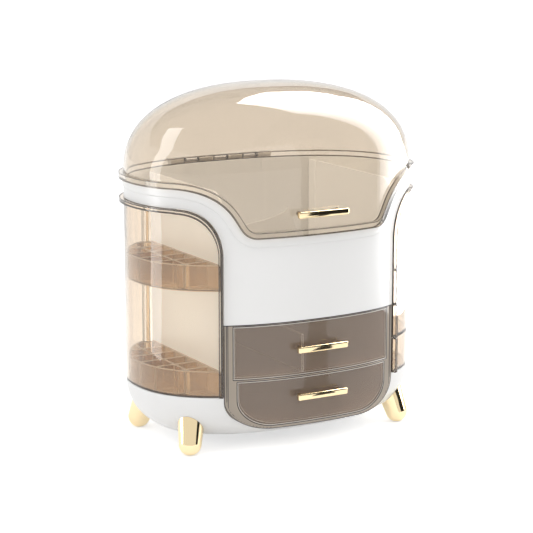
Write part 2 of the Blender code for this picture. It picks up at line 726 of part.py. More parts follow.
def drawer_housing(hub):
    """Smoked housing: two bays, a shelf between them and a frame round the front."""
    body = housing_blank("drawer_housing", 0.0)
    back = HOUSING_BACK_Y - HOUSING_BACK_WALL
    low = HOUSING_BOTTOM_Z + HOUSING_FLOOR_WALL
    bay = bowed_block("lower_bay", bay_half(LOWER_POST_WIDTH), -OVERRUN, back, low, SHELF_LOW_Z,
                      lower_corner_width(), HOUSING_CORNER_HEIGHT - HOUSING_FLOOR_WALL)
    body = combine(body, bay, "DIFFERENCE")
    high = BIN_FLOOR_Z - SEAT_GAP - HOUSING_TOP_WALL
    front = -HALF_DEPTH - OVERRUN
    half = bay_half(UPPER_POST_WIDTH)
    outline = [(-half, front), (half, front), (half, back), (-half, back)]
    body = combine(body, prism("upper_bay", outline, SHELF_HIGH_Z, high), "DIFFERENCE")
    return finish(body, smoke("drawer_housing"), hub)


def drawer(hub, name, post_width, low, high, corner_width, corner_height):
    """Open-topped smoked drawer with a bowed front."""
    half = bay_half(post_width) - RUN_GAP
    back = HOUSING_BACK_Y - HOUSING_BACK_WALL - DRAWER_REAR_GAP
    body = bowed_block(name, half, 0.0, back, low, high, corner_width, corner_height)
    hollow = bowed_block(
        name + "_hollow", half - DRAWER_WALL, DRAWER_WALL, back - DRAWER_WALL,
        low + DRAWER_WALL, high + OVERRUN, corner_width, corner_height)
    body = combine(body, hollow, "DIFFERENCE")
    return finish(body, smoke(name), hub)


def upper_drawer_low():
    return SHELF_HIGH_Z + RUN_GAP


def upper_drawer_high():
    return BIN_FLOOR_Z - SEAT_GAP - HOUSING_TOP_WALL - RUN_GAP


def lower_drawer_low():
    return HOUSING_BOTTOM_Z + HOUSING_FLOOR_WALL + RUN_GAP


def lower_drawer_high():
    return SHELF_LOW_Z - RUN_GAP


def drawer_back_inside():
    """Depth of the inside of a drawer's back wall."""
    return HOUSING_BACK_Y - HOUSING_BACK_WALL - DRAWER_REAR_GAP - DRAWER_WALL


def upper_drawer_divider(hub):
    """Plate that parts the upper drawer from front to back."""
    low = upper_drawer_low() + DRAWER_WALL + SEAT_GAP
    high = upper_drawer_high() - DRAWER_DIVIDER_DROP
    front = -plan_y(UPPER_DIVIDER_X, DRAWER_WALL) + SEAT_GAP
    back = drawer_back_inside() - SEAT_GAP
    outline = [(front, low), (back, low), (back, high), (front, high)]
    body = side_prism("upper_drawer_divider", outline, UPPER_DIVIDER_X, UPPER_DIVIDER_X + DRAWER_DIVIDER_WALL)
    return finish(body, smoke("upper_drawer_divider"), hub)


def lower_drawer_divider(hub):
    """Plate across the lower drawer, cut to its rounded floor."""
    gap = SEAT_GAP
    half = bay_half(LOWER_POST_WIDTH) - RUN_GAP - DRAWER_WALL - gap
    low = lower_drawer_low() + DRAWER_WALL + gap
    high = lower_drawer_high() - DRAWER_DIVIDER_DROP
    width = lower_corner_width()
    height = HOUSING_CORNER_HEIGHT - HOUSING_FLOOR_WALL
    columns = corner_columns(half, width)
    edge = [(x, rounded_floor(x, half, low, width, height)) for x in columns]
    outline = [(x, z) for x, z in edge if z < high]
    outline = outline + [(outline[-1][0], high), (outline[0][0], high)]
    loops = [[(x, y, z) for x, z in outline] for y in (LOWER_DIVIDER_Y, LOWER_DIVIDER_Y + DRAWER_DIVIDER_WALL)]
    return finish(loft("lower_drawer_divider", loops), smoke("lower_drawer_divider"), hub)


def handle(hub, name, height):
    """Gold bar handle on two posts."""
    middle = Vector((0.0, -(HALF_DEPTH + HANDLE_STAND_OFF + HANDLE_DEPTH / 2), height))
    form = bmesh.new()
    bmesh.ops.create_cube(form, size=1.0)
    size = Matrix.Diagonal((HANDLE_LENGTH, HANDLE_DEPTH, HANDLE_HEIGHT, 1.0))
    bmesh.ops.transform(form, matrix=Matrix.Translation(middle) @ size, verts=form.verts)
    bmesh.ops.bevel(form, geom=form.edges[:], offset=HANDLE_ROUNDING, segments=2, affect="EDGES", profile=0.5)
    mesh = bpy.data.meshes.new(name)
    form.to_mesh(mesh)
    form.free()
    body = bpy.data.objects.new(name, mesh)
    bpy.context.collection.objects.link(body)
    for side in (-1, 1):
        x = side * HANDLE_POST_X
        face = -plan_y(x - side * HANDLE_POST_RADIUS) - SEAT_GAP
        step = 2 * pi / ROUND_SIDES
        loops = [[(x + HANDLE_POST_RADIUS * cos(step * i), y, height + HANDLE_POST_RADIUS * sin(step * i))
                  for i in range(ROUND_SIDES)] for y in (middle.y, face)]
        body = combine(body, loft(name + "_post", loops), "UNION")
    return finish(body, gold(name), hub)


def unit_columns(edge_inset=0.0):
    """Places along a unit's front corner, where its upper edge curves."""
    shrink = UNIT_INNER_X - WINDOW_FRONT_X + edge_inset
    return window_corner(UNIT_INNER_X + edge_inset, shrink)


def barrel_touch():
    """Curve parameter at which the barrel circle touches the plan curve."""
    return inset_angle(UNIT_PIVOT_X, UNIT_BARREL_RADIUS)


def unit_curve(inset, edge_inset, rear):
    """Curved side of a unit, right-hand side, from its front edge to a rear parameter."""
    corner = [(x, -plan_y(x, inset)) for x, _ in unit_columns(edge_inset)]
    front = -inset_angle(corner[-1][0], inset)
    angles = spread(front, rear, 2 * QUARTER_STEPS)[1:] + [rear]
    return corner + [tuple(plan_point(angle, inset)) for angle in angles]


def pivot_arc(radius, first_turn, last_turn):
    """Points round the pivot, right-hand side."""
    turns = spread(first_turn, last_turn, ARC_STEPS) + [last_turn]
    return [(UNIT_PIVOT_X + radius * cos(turn), pivot_y() + radius * sin(turn)) for turn in turns]


def unit_outside():
    """Outer outline of a unit: its curved side and the outer half of its barrel."""
    curve = unit_curve(0.0, 0.0, barrel_touch())
    first = atan2(curve[-1][1] - pivot_y(), curve[-1][0] - UNIT_PIVOT_X)
    return curve + pivot_arc(UNIT_BARREL_RADIUS, first, pi)[1:]


def unit_inside(inset, edge_inset, radius):
    """Inner outline of a unit: its curved side, then round the front of its boss."""
    curve = unit_curve(inset, edge_inset, inset_angle(UNIT_PIVOT_X + radius, inset))
    first = atan2(curve[-1][1] - pivot_y(), curve[-1][0] - UNIT_PIVOT_X)
    reach = UNIT_BARREL_RADIUS - edge_inset
    last = -pi + atan2(sqrt(radius ** 2 - reach ** 2), reach)
    return curve + pivot_arc(radius, first, last)[1:]


def unit_top(index, level):
    """Height of a unit's upper edge at an outline point, cut by the window corner."""
    columns = unit_columns()
    if index < len(columns):
        return min(level, columns[index][1])
    return level


def mirrored(points, side):
    return [(side * point[0], *point[1:]) for point in points]


def left_door(hub):
    """Tall clear door: curved wall, bead along its edges, barrel on its rod."""
    outer = unit_outside()[:-1]
    inner = unit_inside(UNIT_WALL, 0.0, UNIT_BARREL_RADIUS)[:-1]
    loops = []
    for index, (far, near) in enumerate(zip(outer, inner)):
        top = unit_top(index, UNIT_HIGH_Z)
        loops.append(mirrored([(*far, UNIT_LOW_Z), (*far, top), (*near, top), (*near, UNIT_LOW_Z)], -1))
    body = loft("left_door", loops)
    body = combine(body, corner_bead("door_bead", -1, UNIT_LOW_Z), "UNION")
    body = combine(body, rod_hole(-1, UNIT_LOW_Z - OVERRUN, UNIT_HIGH_Z + OVERRUN), "DIFFERENCE")
    return finish(body, champagne("left_door"), hub, (-UNIT_PIVOT_X, pivot_y(), UNIT_LOW_Z))


def bead_loft(name, side, places):
    """Bead of one rounded section along places on the plan surface."""
    loops = []
    for index, (place, normal) in enumerate(places):
        before = places[max(index - 1, 0)][0]
        after = places[min(index + 1, len(places) - 1)][0]
        inward = (after - before).normalized().cross(normal)
        loops.append(mirrored(bead_section(place, normal, inward), side))
    return loft(name, loops)


def bead_section(place, normal, inward):
    """Cross-section of the bead, rounded on its outer side."""
    proud = BEAD_PROUD
    soft = BEAD_ROUNDING
    shape = ((-BEAD_LAP, -BEAD_BITE), (-BEAD_LAP, proud - soft), (soft, proud), (BEAD_WIDTH - soft, proud),
             (BEAD_WIDTH, proud - soft), (BEAD_WIDTH, -BEAD_BITE))
    return [place + inward * across + normal * out for across, out in shape]


def corner_bead(name, side, low):
    """Bead up a unit's front edge, round its corner and back along its top."""
    columns = unit_columns()
    places = [(Vector((x, -plan_y(x), z)), plan_normal(x, -1)) for x, z in [(UNIT_INNER_X, low + BEAD_LAP)] + columns]
    for angle in unit_top_angles():
        spot = plan_point(angle)
        places.append((Vector((*spot, UNIT_HIGH_Z)), plan_normal(spot.x, 1 if spot.y >= 0 else -1)))
    return bead_loft(name, side, places)


def unit_top_angles():
    """Curve parameters along the level part of a unit's top, clear of its barrel."""
    front = -plan_angle(unit_columns()[-1][0])
    rear = plan_angle(UNIT_PIVOT_X + 3 * UNIT_BARREL_RADIUS)
    return spread(front, rear, 2 * QUARTER_STEPS)[1:] + [rear]


def straight_bead(name, side, low, high):
    """Bead up the front edge of a low tray."""
    front = plan_normal(UNIT_INNER_X, -1)
    places = [(Vector((UNIT_INNER_X, -plan_y(UNIT_INNER_X), z)), front)
              for z in (low + BEAD_LAP, high - BEAD_LAP)]
    return bead_loft(name, side, places)


def plan_normal(x, facing):
    """Outward normal of the plan curve at x, on the front or the back."""
    along = (x / HALF_WIDTH) ** (PLAN_POWER - 1.0) / HALF_WIDTH
    depth = (plan_y(x) / HALF_DEPTH) ** (PLAN_POWER - 1.0) / HALF_DEPTH
    return Vector((along, facing * depth, 0.0)).normalized()


def right_tray(hub, name, low, high):
    """Clear swing tray: floor, curved outer wall, low inner lip, boss on the rod."""
    boss = ROD_RADIUS + ROD_CLEARANCE + ROD_BOSS_WALL
    outer = unit_outside()
    inner = unit_inside(UNIT_WALL, UNIT_WALL, boss)
    tops = [unit_top(index, high) for index in range(len(outer))]
    lip_z = low + RIGHT_LIP_HEIGHT
    front_y = outer[0][1]
    for y in (pivot_y() - UNIT_BARREL_RADIUS - LIP_RISE, front_y + UNIT_BARREL_RADIUS + LIP_RISE):
        outer.append((UNIT_INNER_X, y))
        inner.append((UNIT_INNER_X + UNIT_WALL, y))
        tops.append(lip_z)
    floor_z = low + UNIT_FLOOR
    rows = [
        [(*spot, low) for spot in outer],
        [(*spot, top) for spot, top in zip(outer, tops)],
        [(*spot, top) for spot, top in zip(inner, tops)],
        [(*spot, floor_z) for spot in inner],
    ]
    body = loft(name, rows)
    is_top = high == UNIT_HIGH_Z
    bead = corner_bead("bead", 1, low) if is_top else straight_bead("bead", 1, low, high)
    body = combine(body, bead, "UNION")
    body = combine(body, rod_hole(1, low - OVERRUN, high + OVERRUN), "DIFFERENCE")
    return finish(body, champagne(name), hub, (UNIT_PIVOT_X, pivot_y(), low))


def right_trays(hub):
    """Four trays stacked on one rod, the top one tall with the window's round corner."""
    splits = [UNIT_LOW_Z + BOTTOM_TRAY_HEIGHT]
    for height in (LOWER_MIDDLE_TRAY_HEIGHT, UPPER_MIDDLE_TRAY_HEIGHT):
        splits.append(splits[-1] + height)
    lows = [UNIT_LOW_Z] + [split + RUN_GAP / 2 for split in splits]
    highs = [split - RUN_GAP / 2 for split in splits] + [UNIT_HIGH_Z]
    names = ("bottom", "lower_middle", "upper_middle", "top")
    for name, low, high in zip(names, lows, highs):
        right_tray(hub, "right_tray_" + name, low, high)


def clipped(outline, low_x, high_x, low_y, high_y):
    """Part of a convex outline inside a rectangle."""
    for axis, limit, keep_above in ((0, low_x, True), (0, high_x, False), (1, low_y, True), (1, high_y, False)):
        kept = []
        for index, spot in enumerate(outline):
            before = outline[index - 1]
            inside = (spot[axis] >= limit) == keep_above
            was_inside = (before[axis] >= limit) == keep_above
            if inside != was_inside:
                share = (limit - before[axis]) / (spot[axis] - before[axis])
                kept.append(tuple(b + (a - b) * share for a, b in zip(spot, before)))
            if inside:
                kept.append(spot)
        outline = kept
    return outline


def lipstick_tray(hub, name, low, high):
    """Tray that fills the door's width, a solid block sunk with upright cells."""
    inset = UNIT_WALL + SEAT_GAP
    outline = unit_inside(inset, 0.0, UNIT_BARREL_RADIUS + SEAT_GAP)
    body = prism(name, mirrored(outline, -1), low, high)
    wall = CELL_WALL
    room = unit_curve(inset + wall, wall, 0.0) + [
        spot for spot in side_arc(UNIT_PIVOT_X, UNIT_INNER_X + wall, inset + wall) if spot[1] > 0]
    rear_y = pivot_y() - UNIT_BARREL_RADIUS - SEAT_GAP - wall
    count = round((rear_y - room[0][1]) / CELL_PITCH)
    pitch = (rear_y - room[0][1] + wall) / count
    for row in range(2):
        left_x = UNIT_INNER_X + wall + row * CELL_ROW_DEPTH
        right_x = left_x + CELL_ROW_DEPTH - wall if row == 0 else HALF_WIDTH
        for column in range(count):
            near_y = room[0][1] + column * pitch
            cell = clipped(room, left_x, right_x, near_y, near_y + pitch - wall)
            if len(cell) < 3 or max(x for x, _ in cell) - left_x < CELL_LEAST:
                continue
            if max(y for _, y in cell) - min(y for _, y in cell) < CELL_LEAST:
                continue
            tool = prism("cell", mirrored(cell, -1), low + UNIT_FLOOR, high + OVERRUN)
            body = combine(body, tool, "DIFFERENCE")
    return finish(body, champagne(name), hub, (-UNIT_PIVOT_X, pivot_y(), low))


def pivot_rod(hub, name, side):
    """Steel rod from the deck to the ceiling of a side compartment."""
    reach = DECK_THICKNESS / 2
    low = DECK_Z - reach
    high = WINDOW_TOP_Z + SEAT_GAP + CEILING_THICKNESS
    body = upright_cylinder(name, side * UNIT_PIVOT_X, pivot_y(), ROD_RADIUS, low, high)
    return finish(body, champagne(name), hub)


def build():
    for item in list(bpy.data.objects):
        bpy.data.objects.remove(item)
    front_reach = HALF_DEPTH + HANDLE_STAND_OFF + HANDLE_DEPTH
    rear_reach = HINGE_Y + HINGE_BARREL_RADIUS
    hub = bpy.data.objects.new("organizer", None)
    bpy.context.collection.objects.link(hub)
    hub.location = (0.0, (front_reach - rear_reach) / 2, 0.0)
    shell_frame(hub)
    base_bowl(hub)
    base_deck(hub)
    for side, hand in ((-1, "left"), (1, "right")):
        partition(hub, hand + "_partition", side)
        ceiling(hub, hand + "_ceiling", side)
        for end, place in ((-1, "front"), (1, "rear")):
            foot(hub, "foot_" + place + "_" + hand, side, end)
    bin_floor(hub)
    bin_divider(hub)
    drawer_housing(hub)
    drawer(hub, "upper_drawer", UPPER_POST_WIDTH, upper_drawer_low(), upper_drawer_high(),
           lower_corner_width(), 0.0)
    drawer(hub, "lower_drawer", LOWER_POST_WIDTH, lower_drawer_low(), lower_drawer_high(),
           lower_corner_width(), HOUSING_CORNER_HEIGHT - HOUSING_FLOOR_WALL)
    upper_drawer_divider(hub)
    lower_drawer_divider(hub)
    handle(hub, "lid_handle", LID_HANDLE_Z)
    handle(hub, "upper_drawer_handle", UPPER_HANDLE_Z)
    handle(hub, "lower_drawer_handle", LOWER_HANDLE_Z)
    lid(hub)
    hinge_pin(hub)
    left_door(hub)
    lipstick_tray(hub, "lower_lipstick_tray", UNIT_LOW_Z, UNIT_LOW_Z + LIPSTICK_TRAY_HEIGHT)
    lipstick_tray(hub, "upper_lipstick_tray", UPPER_LIPSTICK_Z, UPPER_LIPSTICK_Z + LIPSTICK_TRAY_HEIGHT)
    right_trays(hub)
    pivot_rod(hub, "left_pivot_rod", -1)
    pivot_rod(hub, "right_pivot_rod", 1)


build()
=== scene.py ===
"""Looks of the dressing-table organizer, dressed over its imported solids.

The pieces are taken in the order in which the box is put together.
"""

from math import atan2, cos, pi, radians, sin, sqrt

import bmesh
import bpy
from mathutils import Matrix, Vector


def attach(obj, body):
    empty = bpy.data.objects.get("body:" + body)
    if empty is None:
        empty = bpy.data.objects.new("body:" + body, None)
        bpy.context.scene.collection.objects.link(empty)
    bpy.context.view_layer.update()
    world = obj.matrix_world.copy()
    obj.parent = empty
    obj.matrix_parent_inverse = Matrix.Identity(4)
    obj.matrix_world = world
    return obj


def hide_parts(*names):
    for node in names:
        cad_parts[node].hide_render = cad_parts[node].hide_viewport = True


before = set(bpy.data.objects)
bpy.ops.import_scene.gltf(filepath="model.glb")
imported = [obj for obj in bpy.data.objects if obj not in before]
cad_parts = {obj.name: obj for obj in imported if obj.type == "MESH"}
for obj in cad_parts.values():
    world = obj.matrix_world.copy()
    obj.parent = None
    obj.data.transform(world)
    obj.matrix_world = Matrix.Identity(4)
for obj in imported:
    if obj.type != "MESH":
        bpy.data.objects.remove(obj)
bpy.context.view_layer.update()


# Base bowl
# One deep white moulding in glossy polystyrene. It is open on top, where the deck
# closes it, and cut away in front, where the drawer housing hangs into it.
HALF_WIDTH = 0.150
HALF_DEPTH = 0.099
PLAN_POWER = 2.35
SEAT_GAP = 0.0003
BOWL_FLOOR_Z = 0.0126
DECK_Z = 0.0598
BIN_FLOOR_Z = 0.1315
OVERRUN = 0.010
SHELL_WALL = 0.0030
WINDOW_WIDTH = 0.0541
BOWL_TUCK = 0.0430
PARTITION_SET_BACK = 0.0019
FACE_FRAME_DEPTH = 0.0060
HOUSING_LIFT = 0.0149
HOUSING_REAR_MARGIN = 0.0310
HOUSING_CORNER_WIDTH = 0.0450
HOUSING_CORNER_HEIGHT = 0.0290
HANDLE_DEPTH = 0.0050
HANDLE_STAND_OFF = 0.0055
HINGE_STAND_OFF = 0.0085
HINGE_BARREL_RADIUS = 0.0033
QUARTER_STEPS = 20
CORNER_STEPS = 20
WINDOW_FRONT_X = HALF_WIDTH - WINDOW_WIDTH
PARTITION_X = WINDOW_FRONT_X - PARTITION_SET_BACK
HOUSING_BOTTOM_Z = BOWL_FLOOR_Z + HOUSING_LIFT
HOUSING_BACK_Y = HALF_DEPTH - HOUSING_REAR_MARGIN
HINGE_Y = HALF_DEPTH + HINGE_STAND_OFF
MIDDLE_Y = (HALF_DEPTH + HANDLE_STAND_OFF + HANDLE_DEPTH - HINGE_Y - HINGE_BARREL_RADIUS) / 2
WHITE_COLOUR = (0.86, 0.855, 0.845, 1.0)
WHITE_ROUGHNESS = 0.32
PEEL_SIZE = 0.0016
PEEL_DEPTH = 0.00002
BUMP_STRENGTH = 0.25
SHARP_TURN = radians(50)
CREASE_TURN = radians(32)
CORD_RADIUS = 0.0003
CORD_SINK = 0.0005
CORD_SIDES = 6


def plan_y(x, inset=0.0):
    """Half depth of the plan curve at x, for a curve drawn inset into it."""
    share = min(abs(x) / (HALF_WIDTH - inset), 1.0)
    return (HALF_DEPTH - inset) * (1.0 - share ** PLAN_POWER) ** (1.0 / PLAN_POWER)


def plan_angle(x):
    """Curve parameter, 0 at +X and a quarter turn at the front or back, at x."""
    return atan2(sqrt(1.0 - (x / HALF_WIDTH) ** PLAN_POWER), (x / HALF_WIDTH) ** (PLAN_POWER / 2.0))


def inset_angle(x, inset):
    """Curve parameter at which the inset plan curve reaches x."""
    return plan_angle(x * HALF_WIDTH / (HALF_WIDTH - inset))


def plan_point(angle, inset=0.0, scale=1.0):
    """Point of the plan curve at a parameter, inset and scaled about its middle."""
    across = cos(angle)
    along = sin(angle)
    x = (HALF_WIDTH - inset) * abs(across) ** (2.0 / PLAN_POWER)
    y = (HALF_DEPTH - inset) * abs(along) ** (2.0 / PLAN_POWER)
    return Vector((x * scale * (1 if across >= 0 else -1), y * scale * (1 if along >= 0 else -1)))


def spread(first, last, steps):
    """Evenly spaced values from first up to, but without, last."""
    return [first + (last - first) * step / steps for step in range(steps)]


def mesh_object(name, points, faces):
    """Closed mesh with its faces turned outwards."""
    form = bmesh.new()
    corners = [form.verts.new(point) for point in points]
    for face in faces:
        form.faces.new([corners[index] for index in face])
    bmesh.ops.recalc_face_normals(form, faces=form.faces)
    mesh = bpy.data.meshes.new(name)
    form.to_mesh(mesh)
    form.free()
    body = bpy.data.objects.new(name, mesh)
    bpy.context.collection.objects.link(body)
    return body


def loft(name, loops, ring=False):
    """Skin over equal closed loops, joined end to end in a ring or capped."""
    count = len(loops[0])
    points = [point for loop in loops for point in loop]
    faces = []
    for row in range(len(loops) if ring else len(loops) - 1):
        near = row * count
        far = (row + 1) % len(loops) * count
        for index in range(count):
            after = (index + 1) % count
            faces.append((near + index, near + after, far + after, far + index))
    if not ring:
        faces.append(tuple(range(count)))
        faces.append(tuple(range(len(points) - count, len(points))))
    return mesh_object(name, points, faces)


def prism(name, outline, low, high):
    """Plan outline raised from one height to another."""
    return loft(name, [[(x, y, low) for x, y in outline], [(x, y, high) for x, y in outline]])


def side_prism(name, outline, first_x, last_x):
    """Outline in depth and height, carried across from one x to another."""
    return loft(name, [[(x, y, z) for y, z in outline] for x in (first_x, last_x)])


def combine(body, tool, operation):
    """Union or difference of two closed forms. The tool is used up."""
    modifier = body.modifiers.new(operation, "BOOLEAN")
    modifier.operation = operation
    modifier.object = tool
    bpy.context.view_layer.update()
    shape = body.evaluated_get(bpy.context.evaluated_depsgraph_get())
    mesh = bpy.data.meshes.new_from_object(shape)
    body.modifiers.remove(modifier)
    body.data = mesh
    bpy.data.objects.remove(tool)
    return body


def add(tree, kind, inputs, **settings):
    """New node of a tree. Each of its inputs takes another node's socket or a value."""
    node = tree.nodes.new(kind)
    for key, value in settings.items():
        setattr(node, key, value)
    for key, value in inputs.items():
        if isinstance(value, bpy.types.NodeSocket):
            tree.links.new(value, node.inputs[key])
        else:
            node.inputs[key].default_value = value
    return node.outputs


def moulded(name, colour, roughness, grain_size=PEEL_SIZE, grain_depth=PEEL_DEPTH, metallic=0.0):
    """Principled material with the faint orange peel of a moulded surface."""
    material = bpy.data.materials.new(name)
    material.use_nodes = True
    tree = material.node_tree
    shader = tree.nodes["Principled BSDF"]
    shader.inputs["Base Color"].default_value = colour
    shader.inputs["Roughness"].default_value = roughness
    shader.inputs["Metallic"].default_value = metallic
    place = add(tree, "ShaderNodeTexCoord", {})
    peel = add(tree, "ShaderNodeTexNoise", {
        "Vector": place["Object"], "Scale": 1.0 / grain_size, "Detail": 2.0})
    bump = add(tree, "ShaderNodeBump", {
        "Strength": BUMP_STRENGTH, "Distance": grain_depth, "Height": peel["Fac"]})
    tree.links.new(bump["Normal"], shader.inputs["Normal"])
    return material


def shape_tree(name, numbers, material_label):
    """Node tree that takes a mesh, some numbers and a material, and gives a mesh."""
    tree = bpy.data.node_groups.new(name, "GeometryNodeTree")
    socket = tree.interface.new_socket
    socket("Geometry", in_out="INPUT", socket_type="NodeSocketGeometry")
    for label, value in numbers.items():
        socket(label, in_out="INPUT", socket_type="NodeSocketFloat").default_value = value
    socket(material_label, in_out="INPUT", socket_type="NodeSocketMaterial")
    socket("Geometry", in_out="OUTPUT", socket_type="NodeSocketGeometry")
    return tree


def close_tree(tree, geometry, material):
    """Last nodes of a node tree: real meshes in their material."""
    real = add(tree, "GeometryNodeRealizeInstances", {"Geometry": geometry})
    paint = add(tree, "GeometryNodeSetMaterial", {"Geometry": real["Geometry"], "Material": material})
    add(tree, "NodeGroupOutput", {"Geometry": paint["Geometry"]})
    return tree


def corner_tree():
    """Node tree that lays a thin cord just inside every sharp corner of a mesh, to carry a painted edge
    line.
    """
    tree = shape_tree("corner_cords", {
        "Cord Radius": CORD_RADIUS, "Cord Sink": CORD_SINK, "Least Turn": SHARP_TURN}, "Cord Material")
    given = add(tree, "NodeGroupInput", {})
    depth = add(tree, "ShaderNodeMath", {0: given["Cord Sink"], 1: -1.0}, operation="MULTIPLY")
    normal = add(tree, "GeometryNodeInputNormal", {})
    inward = add(tree, "ShaderNodeVectorMath", {
        "Vector": normal["Normal"], "Scale": depth["Value"]}, operation="SCALE")
    sunk = add(tree, "GeometryNodeSetPosition", {
        "Geometry": given["Geometry"], "Offset": inward["Vector"]})
    turn = add(tree, "GeometryNodeInputMeshEdgeAngle", {})
    sharp = add(tree, "FunctionNodeCompare", {
        "A": turn["Unsigned Angle"], "B": given["Least Turn"]}, operation="GREATER_THAN")
    path = add(tree, "GeometryNodeMeshToCurve", {
        "Mesh": sunk["Geometry"], "Selection": sharp["Result"]})
    ring = add(tree, "GeometryNodeCurvePrimitiveCircle", {
        "Resolution": CORD_SIDES, "Radius": given["Cord Radius"]})
    cord = add(tree, "GeometryNodeCurveToMesh", {
        "Curve": path["Curve"], "Profile Curve": ring["Curve"], "Fill Caps": True})
    return close_tree(tree, cord["Mesh"], given["Cord Material"])


def grown(piece, tree, values):
    """Mesh that a node tree makes from a piece, with the tree's inputs set by name."""
    modifier = piece.modifiers.new(tree.name, "NODES")
    modifier.node_group = tree
    for item in tree.interface.items_tree:
        if item.name in values:
            modifier[item.identifier] = values[item.name]
    bpy.context.view_layer.update()
    shape = piece.evaluated_get(bpy.context.evaluated_depsgraph_get())
    mesh = bpy.data.meshes.new_from_object(shape)
    piece.modifiers.remove(modifier)
    return mesh


cords = corner_tree()


def seat(piece, material, body, finish, *solids, corner=None, radius=CORD_RADIUS, sink=CORD_SINK):
    """Puts a finished piece in the frame: material, shading, body and its solids.

    A corner material draws its sharp corners as thin cords sunk into them, painted lines of edge shade or
    edge highlight.
    """
    mesh = piece.data
    mesh.transform(Matrix.Translation((0.0, MIDDLE_Y, 0.0)))
    mesh.materials.clear()
    mesh.materials.append(material)
    if corner:
        lines = grown(piece, cords, {"Cord Radius": radius, "Cord Sink": sink, "Cord Material": corner})
        form = bmesh.new()
        form.from_mesh(mesh)
        count = len(form.faces)
        form.from_mesh(lines)
        form.faces.ensure_lookup_table()
        for face in form.faces[count:]:
            face.material_index = 1
        form.to_mesh(mesh)
        form.free()
        mesh.materials.append(corner)
        bpy.data.meshes.remove(lines)
    mesh.shade_smooth()
    mesh.set_sharp_from_angle(angle=CREASE_TURN)
    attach(piece, body)
    if solids:
        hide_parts(*solids)
    return piece


def bowl_profile(inset):
    """Insets and heights down the side of the bowl, a quarter ellipse to its floor."""
    height = DECK_Z - BOWL_FLOOR_Z
    turns = spread(0.0, pi / 2, QUARTER_STEPS) + [pi / 2]
    return [(BOWL_TUCK - (BOWL_TUCK - inset) * cos(turn), DECK_Z - (height - inset) * sin(turn))
            for turn in turns]


def bowl_solid(name, inset, top_z):
    """Solid form of the bowl, grown or shrunk by an inset."""
    angles = spread(0.0, 2 * pi, 6 * QUARTER_STEPS)
    rows = [(inset, top_z)] if top_z > DECK_Z else []
    rows += bowl_profile(inset)
    return loft(name, [[(*plan_point(angle, reach), z) for angle in angles] for reach, z in rows])


def corner_columns(half, corner_width):
    """Places across a box whose lower corners are rounded."""
    turns = spread(0.0, pi / 2, CORNER_STEPS)
    right = [half - corner_width * (1 - cos(turn)) for turn in turns]
    flat = half - corner_width
    middle = [flat - 2 * flat * step / QUARTER_STEPS for step in range(QUARTER_STEPS + 1)]
    return right + middle + [-x for x in reversed(right)]


def rounded_floor(x, half, low, corner_width, corner_height):
    """Height of a floor that curves up to its side walls."""
    share = max(0.0, abs(x) - (half - corner_width)) / corner_width
    return low + corner_height * (1.0 - sqrt(max(0.0, 1.0 - share ** 2)))


def bowed_block(name, half, front_inset, back_y, low, high, corner_width, corner_height):
    """Block whose front follows the plan curve and whose lower corners are round.

    Its back is level, or with no back_y follows the front at the face frame's depth.
    """
    loops = []
    for x in corner_columns(half, corner_width):
        floor = rounded_floor(x, half, low, corner_width, corner_height)
        front = -plan_y(x, front_inset)
        back = back_y
        if back is None:
            back = -plan_y(x) + FACE_FRAME_DEPTH + (SEAT_GAP if front_inset else 0.0)
        loops.append([(x, front, floor), (x, back, floor), (x, back, high), (x, front, high)])
    return loft(name, loops)


def housing_blank(name, growth):
    """Outside of the drawer housing with its face frame, grown by a gap."""
    high = BIN_FLOOR_Z - SEAT_GAP + (OVERRUN if growth else 0.0)
    front_inset = -OVERRUN if growth else 0.0
    body = bowed_block(
        name, PARTITION_X - SEAT_GAP + growth, front_inset, HOUSING_BACK_Y + growth,
        HOUSING_BOTTOM_Z - growth, high, HOUSING_CORNER_WIDTH, HOUSING_CORNER_HEIGHT)
    spread_x = WINDOW_FRONT_X - PARTITION_X + SEAT_GAP
    face = bowed_block(
        name + "_face", WINDOW_FRONT_X + growth, front_inset, None,
        HOUSING_BOTTOM_Z - spread_x / 2 - growth, high,
        HOUSING_CORNER_WIDTH + spread_x, HOUSING_CORNER_HEIGHT + spread_x / 2)
    return combine(body, face, "UNION")


white = moulded("white_polystyrene", WHITE_COLOUR, WHITE_ROUGHNESS)
bowl = bowl_solid("bowl_moulding", 0.0, DECK_Z)
bowl = combine(bowl, bowl_solid("bowl_hollow", SHELL_WALL, DECK_Z + OVERRUN), "DIFFERENCE")
bowl = combine(bowl, housing_blank("housing_room", SEAT_GAP), "DIFFERENCE")
seat(bowl, white, "body", "white_plastic", "base_bowl")


# Deck, partitions, ceilings and bin
# Flat white plates inside the shell. Their solids are already the real shape, so
# they keep it and take a whiter copy of the polystyrene than the outer mouldings.
# The partitions glow faintly, a stand-in for the light that shows through them.
INSIDE_WHITE_COLOUR = (0.94, 0.93, 0.91, 1.0)
PARTITION_GLOW = 0.20


def paint_solid(name, material):
    """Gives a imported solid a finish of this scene."""
    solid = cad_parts[name]
    for holder in solid.material_slots:
        holder.link = "OBJECT"
        holder.material = material


inside_white = moulded("inside_white_polystyrene", INSIDE_WHITE_COLOUR, WHITE_ROUGHNESS)
for plate in ("base_deck", "left_ceiling", "right_ceiling", "bin_floor", "bin_divider"):
    paint_solid(plate, inside_white)
lit_white = moulded("lit_white_polystyrene", INSIDE_WHITE_COLOUR, WHITE_ROUGHNESS)
lit_shader = lit_white.node_tree.nodes["Principled BSDF"]
lit_shader.inputs["Emission Color"].default_value = INSIDE_WHITE_COLOUR
lit_shader.inputs["Emission Strength"].default_value = PARTITION_GLOW
for plate in ("left_partition", "right_partition"):
    paint_solid(plate, lit_white)


